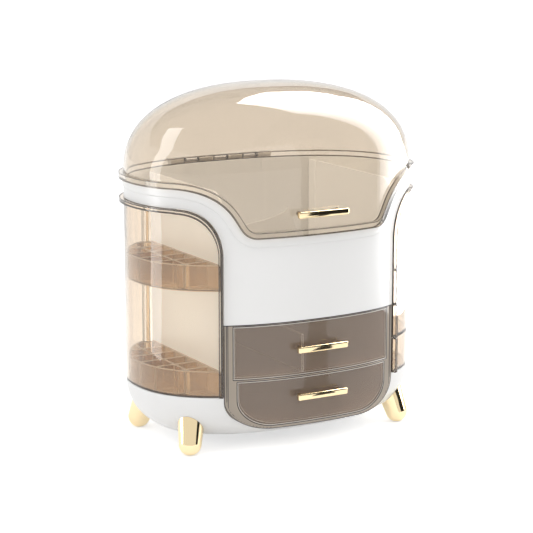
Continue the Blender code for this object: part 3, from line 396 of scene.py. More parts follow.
# Hinge pin
# A length of drawn steel wire that threads the knuckles of the lid.
STEEL_COLOUR = (0.62, 0.62, 0.63, 1.0)
STEEL_ROUGHNESS = 0.28
STEEL_GRAIN_SIZE = 0.0009
STEEL_GRAIN_DEPTH = 0.00001

steel = moulded("drawn_steel", STEEL_COLOUR, STEEL_ROUGHNESS, STEEL_GRAIN_SIZE, STEEL_GRAIN_DEPTH, 1.0)
paint_solid("hinge_pin", steel)


# Feet
# Four splayed feet with round ends, moulded in plastic and plated in pale gold.
# Each is cut to the bowl that it is screwed to from inside.
FOOT_SIDE_MARGIN = 0.0298
FOOT_END_MARGIN = 0.0419
FOOT_TIP_RADIUS = 0.0115
FOOT_TOP_RADIUS = 0.0145
FOOT_LENGTH = 0.0500
FOOT_SPLAY = radians(21)
FOOT_TURN = radians(55)
FOOT_FLAT_DEPTH = 0.0006
ROUND_SIDES = 36
FOOT_TIP_X = HALF_WIDTH - FOOT_SIDE_MARGIN
FOOT_TIP_Y = HALF_DEPTH - FOOT_END_MARGIN
GOLD_COLOUR = (0.82, 0.67, 0.42, 1.0)
GOLD_ROUGHNESS = 0.07
GOLD_GRAIN_SIZE = 0.004


def circle(x, y, radius):
    """Points round a circle in two coordinates."""
    step = 2 * pi / ROUND_SIDES
    return [(x + radius * cos(step * index), y + radius * sin(step * index))
            for index in range(ROUND_SIDES)]


def plated_foot(name, side, end):
    """Tapering foot of round section, leant outwards and trimmed to the bowl."""
    rows = [(FOOT_TIP_RADIUS * cos(turn), FOOT_TIP_RADIUS * (1 + sin(turn)))
            for turn in spread(-pi / 2, 0.0, QUARTER_STEPS)[1:] + [0.0]]
    rows.append((FOOT_TOP_RADIUS, FOOT_LENGTH))
    piece = loft(name, [[(*spot, z) for spot in circle(0.0, 0.0, radius)] for radius, z in rows])
    outward = Vector((side * cos(FOOT_TURN), end * sin(FOOT_TURN), 0.0))
    lean = Matrix.Rotation(FOOT_SPLAY, 4, outward.cross(Vector((0.0, 0.0, 1.0))))
    tip = Vector((side * FOOT_TIP_X, end * FOOT_TIP_Y, FOOT_TIP_RADIUS - FOOT_FLAT_DEPTH))
    piece.data.transform(Matrix.Translation(tip) @ lean @ Matrix.Translation((0.0, 0.0, -FOOT_TIP_RADIUS)))
    seat_form = bowl_solid("bowl_seat", -SEAT_GAP, DECK_Z + OVERRUN)
    piece = combine(piece, seat_form, "DIFFERENCE")
    sides = ((-1, -1), (1, -1), (1, 1), (-1, 1))
    square = [(tip.x + FOOT_LENGTH * x, tip.y + FOOT_LENGTH * y) for x, y in sides]
    return combine(piece, prism("floor_cut", square, -OVERRUN, 0.0), "DIFFERENCE")


gold = moulded("gold_plating", GOLD_COLOUR, GOLD_ROUGHNESS, GOLD_GRAIN_SIZE, PEEL_DEPTH, 1.0)
for side, hand in ((-1, "left"), (1, "right")):
    for end, place in ((-1, "front"), (1, "rear")):
        foot = plated_foot("plated_foot_" + place + "_" + hand, side, end)
        seat(foot, gold, "body", "gold_plating", "foot_" + place + "_" + hand)


# Shell
# The white wall of the box in one moulding: front panel with its swept rim, the
# belt over the side windows, and the back. A raised band follows the rim.
RIM_Z = 0.2626
RIM_BAND = 0.0012
RIM_BAND_HEIGHT = 0.0080
DIP_SIDE_MARGIN = 0.0860
DIP_DEPTH = 0.0480
DIP_RADIUS = 0.0180
SHOULDER_RADIUS = 0.0560
SHOULDER_SLOPE = radians(60)
WINDOW_REAR_STEP = 0.0016
BELT_HEIGHT = 0.0187
WINDOW_CORNER_WIDTH = 0.0355
WINDOW_CORNER_HEIGHT = 0.0463
FLANGE_PROUD = 0.0046
FLANGE_ROUNDING = 0.0014
HINGE_RISE = 0.0022
HINGE_PIN_RADIUS = 0.0010
HINGE_PIN_CLEARANCE = 0.0003
HINGE_LENGTH = 0.1230
HINGE_KNUCKLES = 7
HINGE_KNUCKLE_GAP = 0.0005
HINGE_WEB_BITE = 0.0008
HINGE_WEB_DEPTH = 0.0110
HINGE_WEB_DROP = 0.0010
SHOULDER_REACH_SHARE = 1.3
SHOULDER_STEPS = 48
DIP_HALF_WIDTH = HALF_WIDTH - DIP_SIDE_MARGIN
DIP_Z = RIM_Z - DIP_DEPTH
WINDOW_REAR_X = WINDOW_FRONT_X + WINDOW_REAR_STEP
WINDOW_TOP_Z = RIM_Z - BELT_HEIGHT
HINGE_Z = RIM_Z + HINGE_RISE
RIM_SOFTNESS = 0.0007


def swoop_z(x, drop):
    """Height of the front rim at x: flat rim, shoulder arc, slope, dip arc, flat dip.

    A drop gives the curve that runs parallel to the rim, that far below it.
    """
    rise = RIM_Z - DIP_Z
    radii = SHOULDER_RADIUS + DIP_RADIUS
    slope_length = (rise - radii * (1.0 - cos(SHOULDER_SLOPE))) / sin(SHOULDER_SLOPE)
    shoulder_x = DIP_HALF_WIDTH + radii * sin(SHOULDER_SLOPE) + slope_length * cos(SHOULDER_SLOPE)
    upper = SHOULDER_RADIUS - drop
    lower = DIP_RADIUS + drop
    slope_start = DIP_HALF_WIDTH + lower * sin(SHOULDER_SLOPE)
    slope_end = shoulder_x - upper * sin(SHOULDER_SLOPE)
    reach = abs(x)
    if reach <= DIP_HALF_WIDTH:
        return DIP_Z - drop
    if reach <= slope_start:
        return DIP_Z + DIP_RADIUS - sqrt(lower ** 2 - (reach - DIP_HALF_WIDTH) ** 2)
    if reach <= slope_end:
        slope_low = DIP_Z + DIP_RADIUS - lower * cos(SHOULDER_SLOPE)
        return slope_low + (reach - slope_start) * sin(SHOULDER_SLOPE) / cos(SHOULDER_SLOPE)
    if reach <= shoulder_x:
        return RIM_Z - SHOULDER_RADIUS + sqrt(upper ** 2 - (reach - shoulder_x) ** 2)
    return RIM_Z - drop


def rim_z(point, drop):
    """Height of the rim at a plan point: the swoop in front, level elsewhere."""
    return swoop_z(point.x, drop) if point.y < 0 else RIM_Z - drop


def rim_angles():
    """Curve parameters all round, close together where the front rim sweeps."""
    shoulder = plan_angle(DIP_HALF_WIDTH + SHOULDER_REACH_SHARE * SHOULDER_RADIUS)
    dip = plan_angle(DIP_HALF_WIDTH)
    front = spread(0.0, shoulder, 10) + spread(shoulder, dip, SHOULDER_STEPS) + spread(dip, pi / 2, 14)
    back = spread(0.0, pi, 3 * QUARTER_STEPS)
    left = [pi + angle for angle in front]
    right = [2 * pi - angle for angle in reversed(front[1:])]
    return back + left + [1.5 * pi] + right


def window_corner(edge_x, shrink):
    """Rounded upper front corner of a side window, drawn in from it by a shrink."""
    width = WINDOW_CORNER_WIDTH - shrink
    height = WINDOW_CORNER_HEIGHT - shrink
    middle_x = edge_x + width
    middle_z = WINDOW_TOP_Z - WINDOW_CORNER_HEIGHT
    turns = spread(0.0, pi / 2, CORNER_STEPS) + [pi / 2]
    return [(middle_x - width * cos(turn), middle_z + height * sin(turn)) for turn in turns]


def barrel_arc(first_turn, last_turn):
    """Points round the hinge barrel, in depth and height."""
    turns = spread(first_turn, last_turn, ROUND_SIDES) + [last_turn]
    return [(HINGE_Y + HINGE_BARREL_RADIUS * cos(turn), HINGE_Z + HINGE_BARREL_RADIUS * sin(turn))
            for turn in turns]


def shell_knuckle(name, start, end):
    """Barrel over a web that runs down to the shell's back wall."""
    bite_y = plan_y(max(abs(start), abs(end))) - HINGE_WEB_BITE
    web_top = RIM_Z - HINGE_WEB_DROP
    foot = (bite_y, web_top - HINGE_WEB_DEPTH)
    outline = [foot] + barrel_arc(-0.25 * pi, 1.33 * pi) + [(bite_y, web_top)]
    return side_prism(name, outline, start, end)


def lid_knuckle(name, start, end):
    """Barrel with a web that runs forward into the lid's flange."""
    wall_y = plan_y(max(abs(start), abs(end)))
    bite_y = wall_y + FLANGE_PROUD - FLANGE_ROUNDING - HINGE_WEB_BITE
    web_low = RIM_Z + HINGE_WEB_BITE
    web_high = HINGE_Z + HINGE_BARREL_RADIUS
    outline = [(bite_y, web_high)] + barrel_arc(0.5 * pi, -0.9 * pi) + [(bite_y, web_low)]
    return side_prism(name, outline, start, end)


def hinge_knuckles(name, first):
    """Every second knuckle of the lid hinge, with the web that ties it to its part."""
    pitch = HINGE_LENGTH / HINGE_KNUCKLES
    knuckles = None
    for index in range(first, HINGE_KNUCKLES, 2):
        start = -HINGE_LENGTH / 2 + index * pitch + HINGE_KNUCKLE_GAP / 2
        end = start + pitch - HINGE_KNUCKLE_GAP
        if first:
            knuckle = lid_knuckle(name, start, end)
        else:
            knuckle = shell_knuckle(name, start, end)
        knuckles = knuckle if knuckles is None else combine(knuckles, knuckle, "UNION")
    return knuckles


def hinge_bore():
    """Form of the hole that the hinge pin runs in."""
    reach = HINGE_LENGTH / 2 + OVERRUN
    outline = circle(HINGE_Y, HINGE_Z, HINGE_PIN_RADIUS + HINGE_PIN_CLEARANCE)
    return side_prism("hinge_bore", outline, -reach, reach)


def shell_moulding():
    """Closed ring of wall sections, then the windows, the mouth and the knuckles."""
    soft = RIM_SOFTNESS
    rows = [(SHELL_WALL, SEAT_GAP + soft, None), (SHELL_WALL - soft, SEAT_GAP, None)]
    rows += [(-RIM_BAND + soft * (1 - sin(turn)), SEAT_GAP + soft * (1 - cos(turn)), None)
             for turn in spread(0.0, pi / 2, 4) + [pi / 2]]
    rows += [(-RIM_BAND, RIM_BAND_HEIGHT - soft, None), (soft / 2 - RIM_BAND, RIM_BAND_HEIGHT, None),
             (0.0, RIM_BAND_HEIGHT + RIM_BAND - soft / 2, None),
             (0.0, RIM_BAND_HEIGHT + RIM_BAND + soft, None)]
    rows += [(0.0, None, DECK_Z + SEAT_GAP), (SHELL_WALL, None, DECK_Z + SEAT_GAP)]
    loops = []
    for angle in rim_angles():
        loop = []
        for inset, drop, height in rows:
            spot = plan_point(angle, inset)
            loop.append((spot.x, spot.y, rim_z(plan_point(angle), drop) if height is None else height))
        loops.append(loop)
    piece = loft("shell_moulding", loops, ring=True)
    outside = HALF_WIDTH + OVERRUN
    front = HALF_DEPTH + OVERRUN
    low = DECK_Z - OVERRUN
    for side in (-1, 1):
        profile = [(WINDOW_FRONT_X, low)] + window_corner(WINDOW_FRONT_X, 0.0)
        profile += [(outside, WINDOW_TOP_Z), (outside, low)]
        window = loft("window_front", [[(side * x, y, z) for x, z in profile] for y in (-front, OVERRUN)])
        piece = combine(piece, window, "DIFFERENCE")
        outline = [(side * x, y) for x, y in (
            (WINDOW_REAR_X, 0.0), (outside, 0.0), (outside, front), (WINDOW_REAR_X, front))]
        piece = combine(piece, prism("window_rear", outline, low, WINDOW_TOP_Z), "DIFFERENCE")
    mouth = WINDOW_FRONT_X + OVERRUN
    outline = [(-mouth, -front), (mouth, -front), (mouth, 0.0), (-mouth, 0.0)]
    piece = combine(piece, prism("drawer_mouth", outline, low, BIN_FLOOR_Z), "DIFFERENCE")
    piece = combine(piece, hinge_knuckles("shell_knuckles", 0), "UNION")
    return combine(piece, hinge_bore(), "DIFFERENCE")


seat(shell_moulding(), white, "body", "white_plastic", "shell_frame")


# Drawer housing
# A smoked clear box with two bays. Its frame shows round the drawers, and its
# bottom corners are rounded to the line of the bowl.
HOUSING_TOP_WALL = 0.0016
HOUSING_BACK_WALL = 0.0020
HOUSING_FLOOR_WALL = 0.0021
UPPER_POST_WIDTH = 0.0060
LOWER_POST_WIDTH = 0.0095
SHELF_LIFT = 0.0475
SHELF_THICKNESS = 0.0022
SHELF_LOW_Z = HOUSING_BOTTOM_Z + SHELF_LIFT
SHELF_HIGH_Z = SHELF_LOW_Z + SHELF_THICKNESS
LOWER_CORNER_WIDTH = HOUSING_CORNER_WIDTH - LOWER_POST_WIDTH
LOWER_CORNER_HEIGHT = HOUSING_CORNER_HEIGHT - HOUSING_FLOOR_WALL
HOUSING_TINT = (0.86, 0.80, 0.72)
HOUSING_EDGE_TINT = (0.66, 0.57, 0.48)
HOUSING_HAZE_TINT = (0.86, 0.75, 0.62)
HOUSING_HAZE_SHARE = 0.40
HOUSING_SHADE_LINE_COLOUR = (0.02, 0.02, 0.03, 1.0)
HOUSING_CORD_RADIUS = 0.0004
HOUSING_CORD_SINK = 0.0003
PAINTED_LINE_ROUGHNESS = 0.15
CLEAR_ROUGHNESS = 0.02
PASSING_TINT = (0.98, 0.95, 0.90, 1.0)
WAVE_SIZE = 0.030
WAVE_DEPTH = 0.0002
EDGE_BLEND = 0.35
PLASTIC_IOR = 1.49


def clear_plastic(name, tint, edge_tint, haze_tint=(0.0, 0.0, 0.0), haze_share=0.0,
                  roughness=CLEAR_ROUGHNESS):
    """Tinted clear plastic, darker where a wall is seen along itself, with some haze."""
    material = moulded(name, (*tint, 1.0), roughness, WAVE_SIZE, WAVE_DEPTH)
    tree = material.node_tree
    shader = tree.nodes["Principled BSDF"]
    shader.inputs["Transmission Weight"].default_value = 1.0
    shader.inputs["IOR"].default_value = PLASTIC_IOR
    slope = add(tree, "ShaderNodeLayerWeight", {"Blend": EDGE_BLEND})
    blend = add(tree, "ShaderNodeMix", {
        "Factor": slope["Facing"], "A": (*tint, 1.0), "B": (*edge_tint, 1.0)}, data_type="RGBA")
    tree.links.new(blend["Result"], shader.inputs["Base Color"])
    haze = add(tree, "ShaderNodeBsdfDiffuse", {"Color": (*haze_tint, 1.0)})
    body = add(tree, "ShaderNodeMixShader", {
        "Fac": haze_share, 1: shader.outputs["BSDF"], 2: haze["BSDF"]})
    passing = add(tree, "ShaderNodeBsdfTransparent", {"Color": PASSING_TINT})
    path = add(tree, "ShaderNodeLightPath", {})
    choice = add(tree, "ShaderNodeMixShader", {
        "Fac": path["Is Shadow Ray"], 1: body["Shader"], 2: passing["BSDF"]})
    tree.links.new(choice["Shader"], tree.nodes["Material Output"].inputs["Surface"])
    return material


def painted_line_plastic(name, colour):
    """Opaque plastic of a painted line at a corner of a clear piece, standing in for its edge shade or edge
    highlight.
    """
    return moulded(name, colour, PAINTED_LINE_ROUGHNESS, WAVE_SIZE, WAVE_DEPTH)


def bay_half(post_width):
    """Half width of a drawer bay between its two posts."""
    return PARTITION_X - SEAT_GAP - post_width


housing_plastic = clear_plastic(
    "housing_plastic", HOUSING_TINT, HOUSING_EDGE_TINT, HOUSING_HAZE_TINT, HOUSING_HAZE_SHARE)
# Painted dark lines at the housing's sharp corners, standing in for the dark reflections along the edges of
# clear plastic.
housing_shade_line = painted_line_plastic("housing_shade_line", HOUSING_SHADE_LINE_COLOUR)
back = HOUSING_BACK_Y - HOUSING_BACK_WALL
bay_top = BIN_FLOOR_Z - SEAT_GAP - HOUSING_TOP_WALL
housing = housing_blank("housing_moulding", 0.0)
floor_z = HOUSING_BOTTOM_Z + HOUSING_FLOOR_WALL
bay = bowed_block("lower_bay", bay_half(LOWER_POST_WIDTH), -OVERRUN, back, floor_z, SHELF_LOW_Z,
                  LOWER_CORNER_WIDTH, LOWER_CORNER_HEIGHT)
housing = combine(housing, bay, "DIFFERENCE")
front = -HALF_DEPTH - OVERRUN
half = bay_half(UPPER_POST_WIDTH)
outline = [(-half, front), (half, front), (half, back), (-half, back)]
housing = combine(housing, prism("upper_bay", outline, SHELF_HIGH_Z, bay_top), "DIFFERENCE")
seat(housing, housing_plastic, "body", "smoke_plastic", "drawer_housing",
     corner=housing_shade_line, radius=HOUSING_CORD_RADIUS, sink=HOUSING_CORD_SINK)


# Drawers and their dividers
# Two open trays of the same smoked plastic, with fronts bowed to the box. The
# lower one has the rounded bottom of its bay. A separate plate divides each.
RUN_GAP = 0.0005
DRAWER_WALL = 0.0020
DRAWER_REAR_GAP = 0.0020
DRAWER_DIVIDER_WALL = 0.0016
DRAWER_DIVIDER_DROP = 0.0120
UPPER_DIVIDER_X = -0.0180
DRAWER_REAR_Y = HOUSING_BACK_Y - HOUSING_BACK_WALL - DRAWER_REAR_GAP
UPPER_DRAWER_LOW_Z = SHELF_HIGH_Z + RUN_GAP
UPPER_DRAWER_HIGH_Z = BIN_FLOOR_Z - SEAT_GAP - HOUSING_TOP_WALL - RUN_GAP
LOWER_DRAWER_LOW_Z = HOUSING_BOTTOM_Z + HOUSING_FLOOR_WALL + RUN_GAP
LOWER_DRAWER_HIGH_Z = SHELF_LOW_Z - RUN_GAP
SMOKE_TINT = (0.80, 0.72, 0.65)
SMOKE_EDGE_TINT = (0.45, 0.39, 0.33)
SMOKE_HAZE_TINT = (0.50, 0.39, 0.31)
SMOKE_HAZE_SHARE = 0.30
SMOKE_HIGHLIGHT_LINE_COLOUR = (0.80, 0.76, 0.70, 1.0)
DRAWER_CORD_SINK = 0.0002
DIVIDER_CORD_RADIUS = 0.0006
DIVIDER_CORD_SINK = 0.0001


def drawer_moulding(name, post_width, low, high, corner_height):
    """Bowed block hollowed from above."""
    half = bay_half(post_width) - RUN_GAP
    piece = bowed_block(name, half, 0.0, DRAWER_REAR_Y, low, high, LOWER_CORNER_WIDTH, corner_height)
    hollow = bowed_block("drawer_hollow", half - DRAWER_WALL, DRAWER_WALL, DRAWER_REAR_Y - DRAWER_WALL,
                         low + DRAWER_WALL, high + OVERRUN, LOWER_CORNER_WIDTH, corner_height)
    return combine(piece, hollow, "DIFFERENCE")


smoke = clear_plastic("smoked_plastic", SMOKE_TINT, SMOKE_EDGE_TINT, SMOKE_HAZE_TINT, SMOKE_HAZE_SHARE)
# Painted highlight lines at the sharp corners of the drawers and the divider plate.
smoke_highlight_line = painted_line_plastic("smoke_highlight_line", SMOKE_HIGHLIGHT_LINE_COLOUR)
for level, post_width, low, high, corner_height in (
        ("upper", UPPER_POST_WIDTH, UPPER_DRAWER_LOW_Z, UPPER_DRAWER_HIGH_Z, 0.0),
        ("lower", LOWER_POST_WIDTH, LOWER_DRAWER_LOW_Z, LOWER_DRAWER_HIGH_Z, LOWER_CORNER_HEIGHT)):
    drawer = drawer_moulding(level + "_drawer_moulding", post_width, low, high, corner_height)
    seat(drawer, smoke, level + "_drawer", "smoke_plastic", level + "_drawer",
         corner=smoke_highlight_line, sink=DRAWER_CORD_SINK)
near = -plan_y(UPPER_DIVIDER_X, DRAWER_WALL) + SEAT_GAP
far = DRAWER_REAR_Y - DRAWER_WALL - SEAT_GAP
low = UPPER_DRAWER_LOW_Z + DRAWER_WALL + SEAT_GAP
high = UPPER_DRAWER_HIGH_Z - DRAWER_DIVIDER_DROP
plate = side_prism("divider_plate", [(near, low), (far, low), (far, high), (near, high)],
                   UPPER_DIVIDER_X, UPPER_DIVIDER_X + DRAWER_DIVIDER_WALL)
seat(plate, smoke, "upper_drawer", "smoke_plastic", "upper_drawer_divider",
     corner=smoke_highlight_line, radius=DIVIDER_CORD_RADIUS, sink=DIVIDER_CORD_SINK)
paint_solid("lower_drawer_divider", smoke)


# Handles
# Three gold-plated bars, each on two round posts. Screws from inside hold them to
# the lid and to the drawer fronts.
HANDLE_LENGTH = 0.0560
HANDLE_HEIGHT = 0.0065
HANDLE_ROUNDING = 0.0016
HANDLE_POST_RADIUS = 0.0021
HANDLE_POST_X = 0.0215
LID_HANDLE_LIFT = 0.0215
UPPER_HANDLE_LIFT = 0.0269
LOWER_HANDLE_DROP = 0.0180
LID_HANDLE_Z = DIP_Z + LID_HANDLE_LIFT
UPPER_HANDLE_Z = SHELF_HIGH_Z + UPPER_HANDLE_LIFT
LOWER_HANDLE_Z = SHELF_LOW_Z - LOWER_HANDLE_DROP
LID_WALL = 0.0025
HANDLES = (("lid", LID_HANDLE_Z, LID_WALL), ("upper_drawer", UPPER_HANDLE_Z, DRAWER_WALL),
           ("lower_drawer", LOWER_HANDLE_Z, DRAWER_WALL))


def plated_handle(name, height):
    """Bar with rounded long edges, joined to its two posts."""
    middle = Vector((0.0, -(HALF_DEPTH + HANDLE_STAND_OFF + HANDLE_DEPTH / 2), height))
    form = bmesh.new()
    bmesh.ops.create_cube(form, size=1.0)
    size = Matrix.Diagonal((HANDLE_LENGTH, HANDLE_DEPTH, HANDLE_HEIGHT, 1.0))
    bmesh.ops.transform(form, matrix=Matrix.Translation(middle) @ size, verts=form.verts)
    bmesh.ops.bevel(form, geom=form.edges[:], offset=HANDLE_ROUNDING, segments=6,
                    affect="EDGES", profile=0.5)
    mesh = bpy.data.meshes.new(name)
    form.to_mesh(mesh)
    form.free()
    piece = bpy.data.objects.new(name, mesh)
    bpy.context.collection.objects.link(piece)
    for side in (-1, 1):
        x = side * HANDLE_POST_X
        face = -plan_y(x - side * HANDLE_POST_RADIUS) - SEAT_GAP
        rim = circle(x, height, HANDLE_POST_RADIUS)
        post = loft("post", [[(across, y, up) for across, up in rim] for y in (middle.y, face)])
        piece = combine(piece, post, "UNION")
    return piece


for owner, height, _ in HANDLES:
    bar = plated_handle("plated_" + owner + "_handle", height)
    seat(bar, gold, owner, "gold_plating", owner + "_handle")


# Screws
# Two steel screws hold each handle. They go through the wall from inside into its
# posts, and only their flat heads are made here.
SCREW_RADIUS = 0.0024
SCREW_HEIGHT = 0.0012
SCREW_GAP = 0.0003
SCREW_SIDES = 24


def screw_tree():
    """Node tree that sets a screw head on each point, facing back."""
    tree = shape_tree("screw_heads", {
        "Head Radius": SCREW_RADIUS, "Head Height": SCREW_HEIGHT}, "Head Material")
    given = add(tree, "NodeGroupInput", {})
    head = add(tree, "GeometryNodeMeshCylinder", {
        "Vertices": SCREW_SIDES, "Radius": given["Head Radius"], "Depth": given["Head Height"]})
    places = add(tree, "GeometryNodeInstanceOnPoints", {
        "Points": given["Geometry"], "Instance": head["Mesh"], "Rotation": (pi / 2, 0.0, 0.0)})
    return close_tree(tree, places["Instances"], given["Head Material"])


heads = screw_tree()
for owner, height, wall in HANDLES:
    back_y = SCREW_HEIGHT / 2 + SCREW_GAP
    spots = [(x, back_y - plan_y(x, wall), height) for x in (-HANDLE_POST_X, HANDLE_POST_X)]
    screws = mesh_object(owner + "_handle_screws", spots, [])
    screws.data = grown(screws, heads, {
        "Head Radius": SCREW_RADIUS, "Head Height": SCREW_HEIGHT, "Head Material": steel})
    seat(screws, steel, owner, "steel")


# Lid
# One thin dome of clear champagne plastic with a flange along its swept rim. Three
# knuckles behind it take the hinge pin.
TOP_Z = 0.3542
LID_SKIRT = 0.0065
LID_DOME_POWER = 2.35
FLANGE_HEIGHT = 0.0060
DOME_STEPS = 28
LID_DOME_Z = RIM_Z + LID_SKIRT
CHAMPAGNE_TINT = (0.765, 0.70, 0.62)
CHAMPAGNE_EDGE_TINT = (0.84, 0.77, 0.68)
CHAMPAGNE_SHADE_LINE_COLOUR = (0.10, 0.08, 0.07, 1.0)


def dome_point(angle, turn, inset):
    """Point of the dome: the plan curve drawn in by a superellipse as it rises."""
    scale = cos(turn) ** (2.0 / LID_DOME_POWER)
    rise = sin(turn) ** (2.0 / LID_DOME_POWER)
    spot = plan_point(angle, inset, scale)
    return (spot.x, spot.y, LID_DOME_Z + (TOP_Z - inset - LID_DOME_Z) * rise)


def lid_moulding():
    """Outer dome, flange, then the inner dome, closed at both poles."""
    angles = rim_angles()
    turns = [pi / 2 * step / DOME_STEPS for step in range(DOME_STEPS)]
    rows = [[dome_point(angle, turn, 0.0) for angle in angles] for turn in reversed(turns)]
    for inset, drop in (
            (0.0, -FLANGE_HEIGHT), (-FLANGE_PROUD, -FLANGE_HEIGHT), (-FLANGE_PROUD, 0.0), (LID_WALL, 0.0)):
        rows.append([(*plan_point(angle, inset), rim_z(plan_point(angle), drop)) for angle in angles])
    rows += [[dome_point(angle, turn, LID_WALL) for angle in angles] for turn in turns]
    count = len(angles)
    points = [point for row in rows for point in row]
    faces = []
    for row in range(len(rows) - 1):
        near = row * count
        for index in range(count):
            after = (index + 1) % count
            faces.append((near + index, near + after, near + count + after, near + count + index))
    pole = len(points)
    points += [(0.0, 0.0, TOP_Z), (0.0, 0.0, TOP_Z - LID_WALL)]
    last = (len(rows) - 1) * count
    for index in range(count):
        after = (index + 1) % count
        faces.append((pole, after, index))
        faces.append((pole + 1, last + index, last + after))
    piece = mesh_object("lid_moulding", points, faces)
    piece = combine(piece, hinge_knuckles("lid_knuckles", 1), "UNION")
    return combine(piece, hinge_bore(), "DIFFERENCE")


champagne = clear_plastic("champagne_plastic", CHAMPAGNE_TINT, CHAMPAGNE_EDGE_TINT)
# Painted dark lines at the sharp corners of the lid, the door and the right trays, standing in for dark edge
# reflections.
champagne_shade_line = painted_line_plastic("champagne_shade_line", CHAMPAGNE_SHADE_LINE_COLOUR)
seat(lid_moulding(), champagne, "lid", "champagne_plastic", "lid", corner=champagne_shade_line)


# Left door
# A tall curved wall of pale champagne plastic that swings on its rod. A bead runs up
# its front edge, round the corner and back along its top.
UNIT_EDGE_STEP = 0.0011
UNIT_LIFT = 0.0006
UNIT_BARREL_RADIUS = 0.0053
UNIT_WALL = 0.0020
BEAD_WIDTH = 0.0038
BEAD_PROUD = 0.0046
BEAD_BITE = 0.0010
BEAD_LAP = 0.0002
ROD_RADIUS = 0.0015
ROD_CLEARANCE = 0.0004
ARC_STEPS = 14
UNIT_INNER_X = WINDOW_FRONT_X + UNIT_EDGE_STEP
UNIT_PIVOT_X = UNIT_INNER_X + UNIT_BARREL_RADIUS
UNIT_LOW_Z = DECK_Z + UNIT_LIFT
UNIT_HIGH_Z = WINDOW_TOP_Z - UNIT_LIFT
PALE_TINT = (0.98, 0.91, 0.81)
PALE_EDGE_TINT = (0.46, 0.34, 0.24)
DOOR_CORD_RADIUS = 0.0005
DOOR_CORD_SINK = 0.0007


def pivot_y():
    """Depth at which the barrel circle touches the plan curve from inside."""
    return plan_y(UNIT_PIVOT_X, UNIT_BARREL_RADIUS)


def unit_columns(edge_inset=0.0):
    """Places along a unit's front corner, where its upper edge curves."""
    shrink = UNIT_INNER_X - WINDOW_FRONT_X + edge_inset
    return window_corner(UNIT_INNER_X + edge_inset, shrink)


def unit_curve(inset, edge_inset, rear):
    """Curved side of a unit, right-hand side, from its front edge to a rear parameter."""
    corner = [(x, -plan_y(x, inset)) for x, _ in unit_columns(edge_inset)]
    front = -inset_angle(corner[-1][0], inset)
    angles = spread(front, rear, 2 * QUARTER_STEPS)[1:] + [rear]
    return corner + [tuple(plan_point(angle, inset)) for angle in angles]


def pivot_arc(radius, first_turn, last_turn):
    """Points round the pivot, right-hand side."""
    turns = spread(first_turn, last_turn, ARC_STEPS) + [last_turn]
    return [(UNIT_PIVOT_X + radius * cos(turn), pivot_y() + radius * sin(turn)) for turn in turns]


def unit_outside():
    """Outer outline of a unit: its curved side and the outer half of its barrel."""
    curve = unit_curve(0.0, 0.0, inset_angle(UNIT_PIVOT_X, UNIT_BARREL_RADIUS))
    first = atan2(curve[-1][1] - pivot_y(), curve[-1][0] - UNIT_PIVOT_X)
    return curve + pivot_arc(UNIT_BARREL_RADIUS, first, pi)[1:]


def unit_inside(inset, edge_inset, radius):
    """Inner outline of a unit: its curved side, then round the front of its boss."""
    curve = unit_curve(inset, edge_inset, inset_angle(UNIT_PIVOT_X + radius, inset))
    first = atan2(curve[-1][1] - pivot_y(), curve[-1][0] - UNIT_PIVOT_X)
    reach = UNIT_BARREL_RADIUS - edge_inset
    last = -pi + atan2(sqrt(radius ** 2 - reach ** 2), reach)
    return curve + pivot_arc(radius, first, last)[1:]


def unit_top(index, level):
    """Height of a unit's upper edge at an outline point, cut by the window corner."""
    columns = unit_columns()
    if index < len(columns):
        return min(level, columns[index][1])
    return level


def mirrored(points, side):
    """Points of the right-hand side, turned over to the left for side -1."""
    return [(side * point[0], *point[1:]) for point in points]


def plan_normal(x, facing):
    """Outward normal of the plan curve at x, on the front or the back."""
    along = (x / HALF_WIDTH) ** (PLAN_POWER - 1.0) / HALF_WIDTH
    depth = (plan_y(x) / HALF_DEPTH) ** (PLAN_POWER - 1.0) / HALF_DEPTH
    return Vector((along, facing * depth, 0.0)).normalized()


def bead_section(place, normal, inward):
    """Rectangular section of the bead, square to the plan curve."""
    shape = [(-BEAD_LAP, -BEAD_BITE), (-BEAD_LAP, BEAD_PROUD),
             (BEAD_WIDTH, BEAD_PROUD), (BEAD_WIDTH, -BEAD_BITE)]
    return [place + inward * across + normal * out for across, out in shape]


def bead_loft(name, side, places):
    """Bead of one section along places on the plan surface."""
    loops = []
    for index, (place, normal) in enumerate(places):
        before = places[max(index - 1, 0)][0]
        after = places[min(index + 1, len(places) - 1)][0]
        inward = (after - before).normalized().cross(normal)
        loops.append(mirrored(bead_section(place, normal, inward), side))
    return loft(name, loops)


def unit_top_angles():
    """Curve parameters along the level part of a unit's top, clear of its barrel."""
    front = -plan_angle(unit_columns()[-1][0])
    rear = plan_angle(UNIT_PIVOT_X + 3 * UNIT_BARREL_RADIUS)
    return spread(front, rear, 2 * QUARTER_STEPS)[1:] + [rear]


def corner_bead(name, side, low):
    """Bead up a unit's front edge, round its corner and back along its top."""
    edge = [(UNIT_INNER_X, low + BEAD_LAP)] + unit_columns()
    places = [(Vector((x, -plan_y(x), z)), plan_normal(x, -1)) for x, z in edge]
    for angle in unit_top_angles():
        spot = plan_point(angle)
        places.append((Vector((*spot, UNIT_HIGH_Z)), plan_normal(spot.x, 1 if spot.y >= 0 else -1)))
    return bead_loft(name, side, places)


def rod_hole(side, low, high):
    """Form of the hole that a unit turns on its rod by."""
    outline = circle(side * UNIT_PIVOT_X, pivot_y(), ROD_RADIUS + ROD_CLEARANCE)
    return prism("rod_hole", outline, low, high)


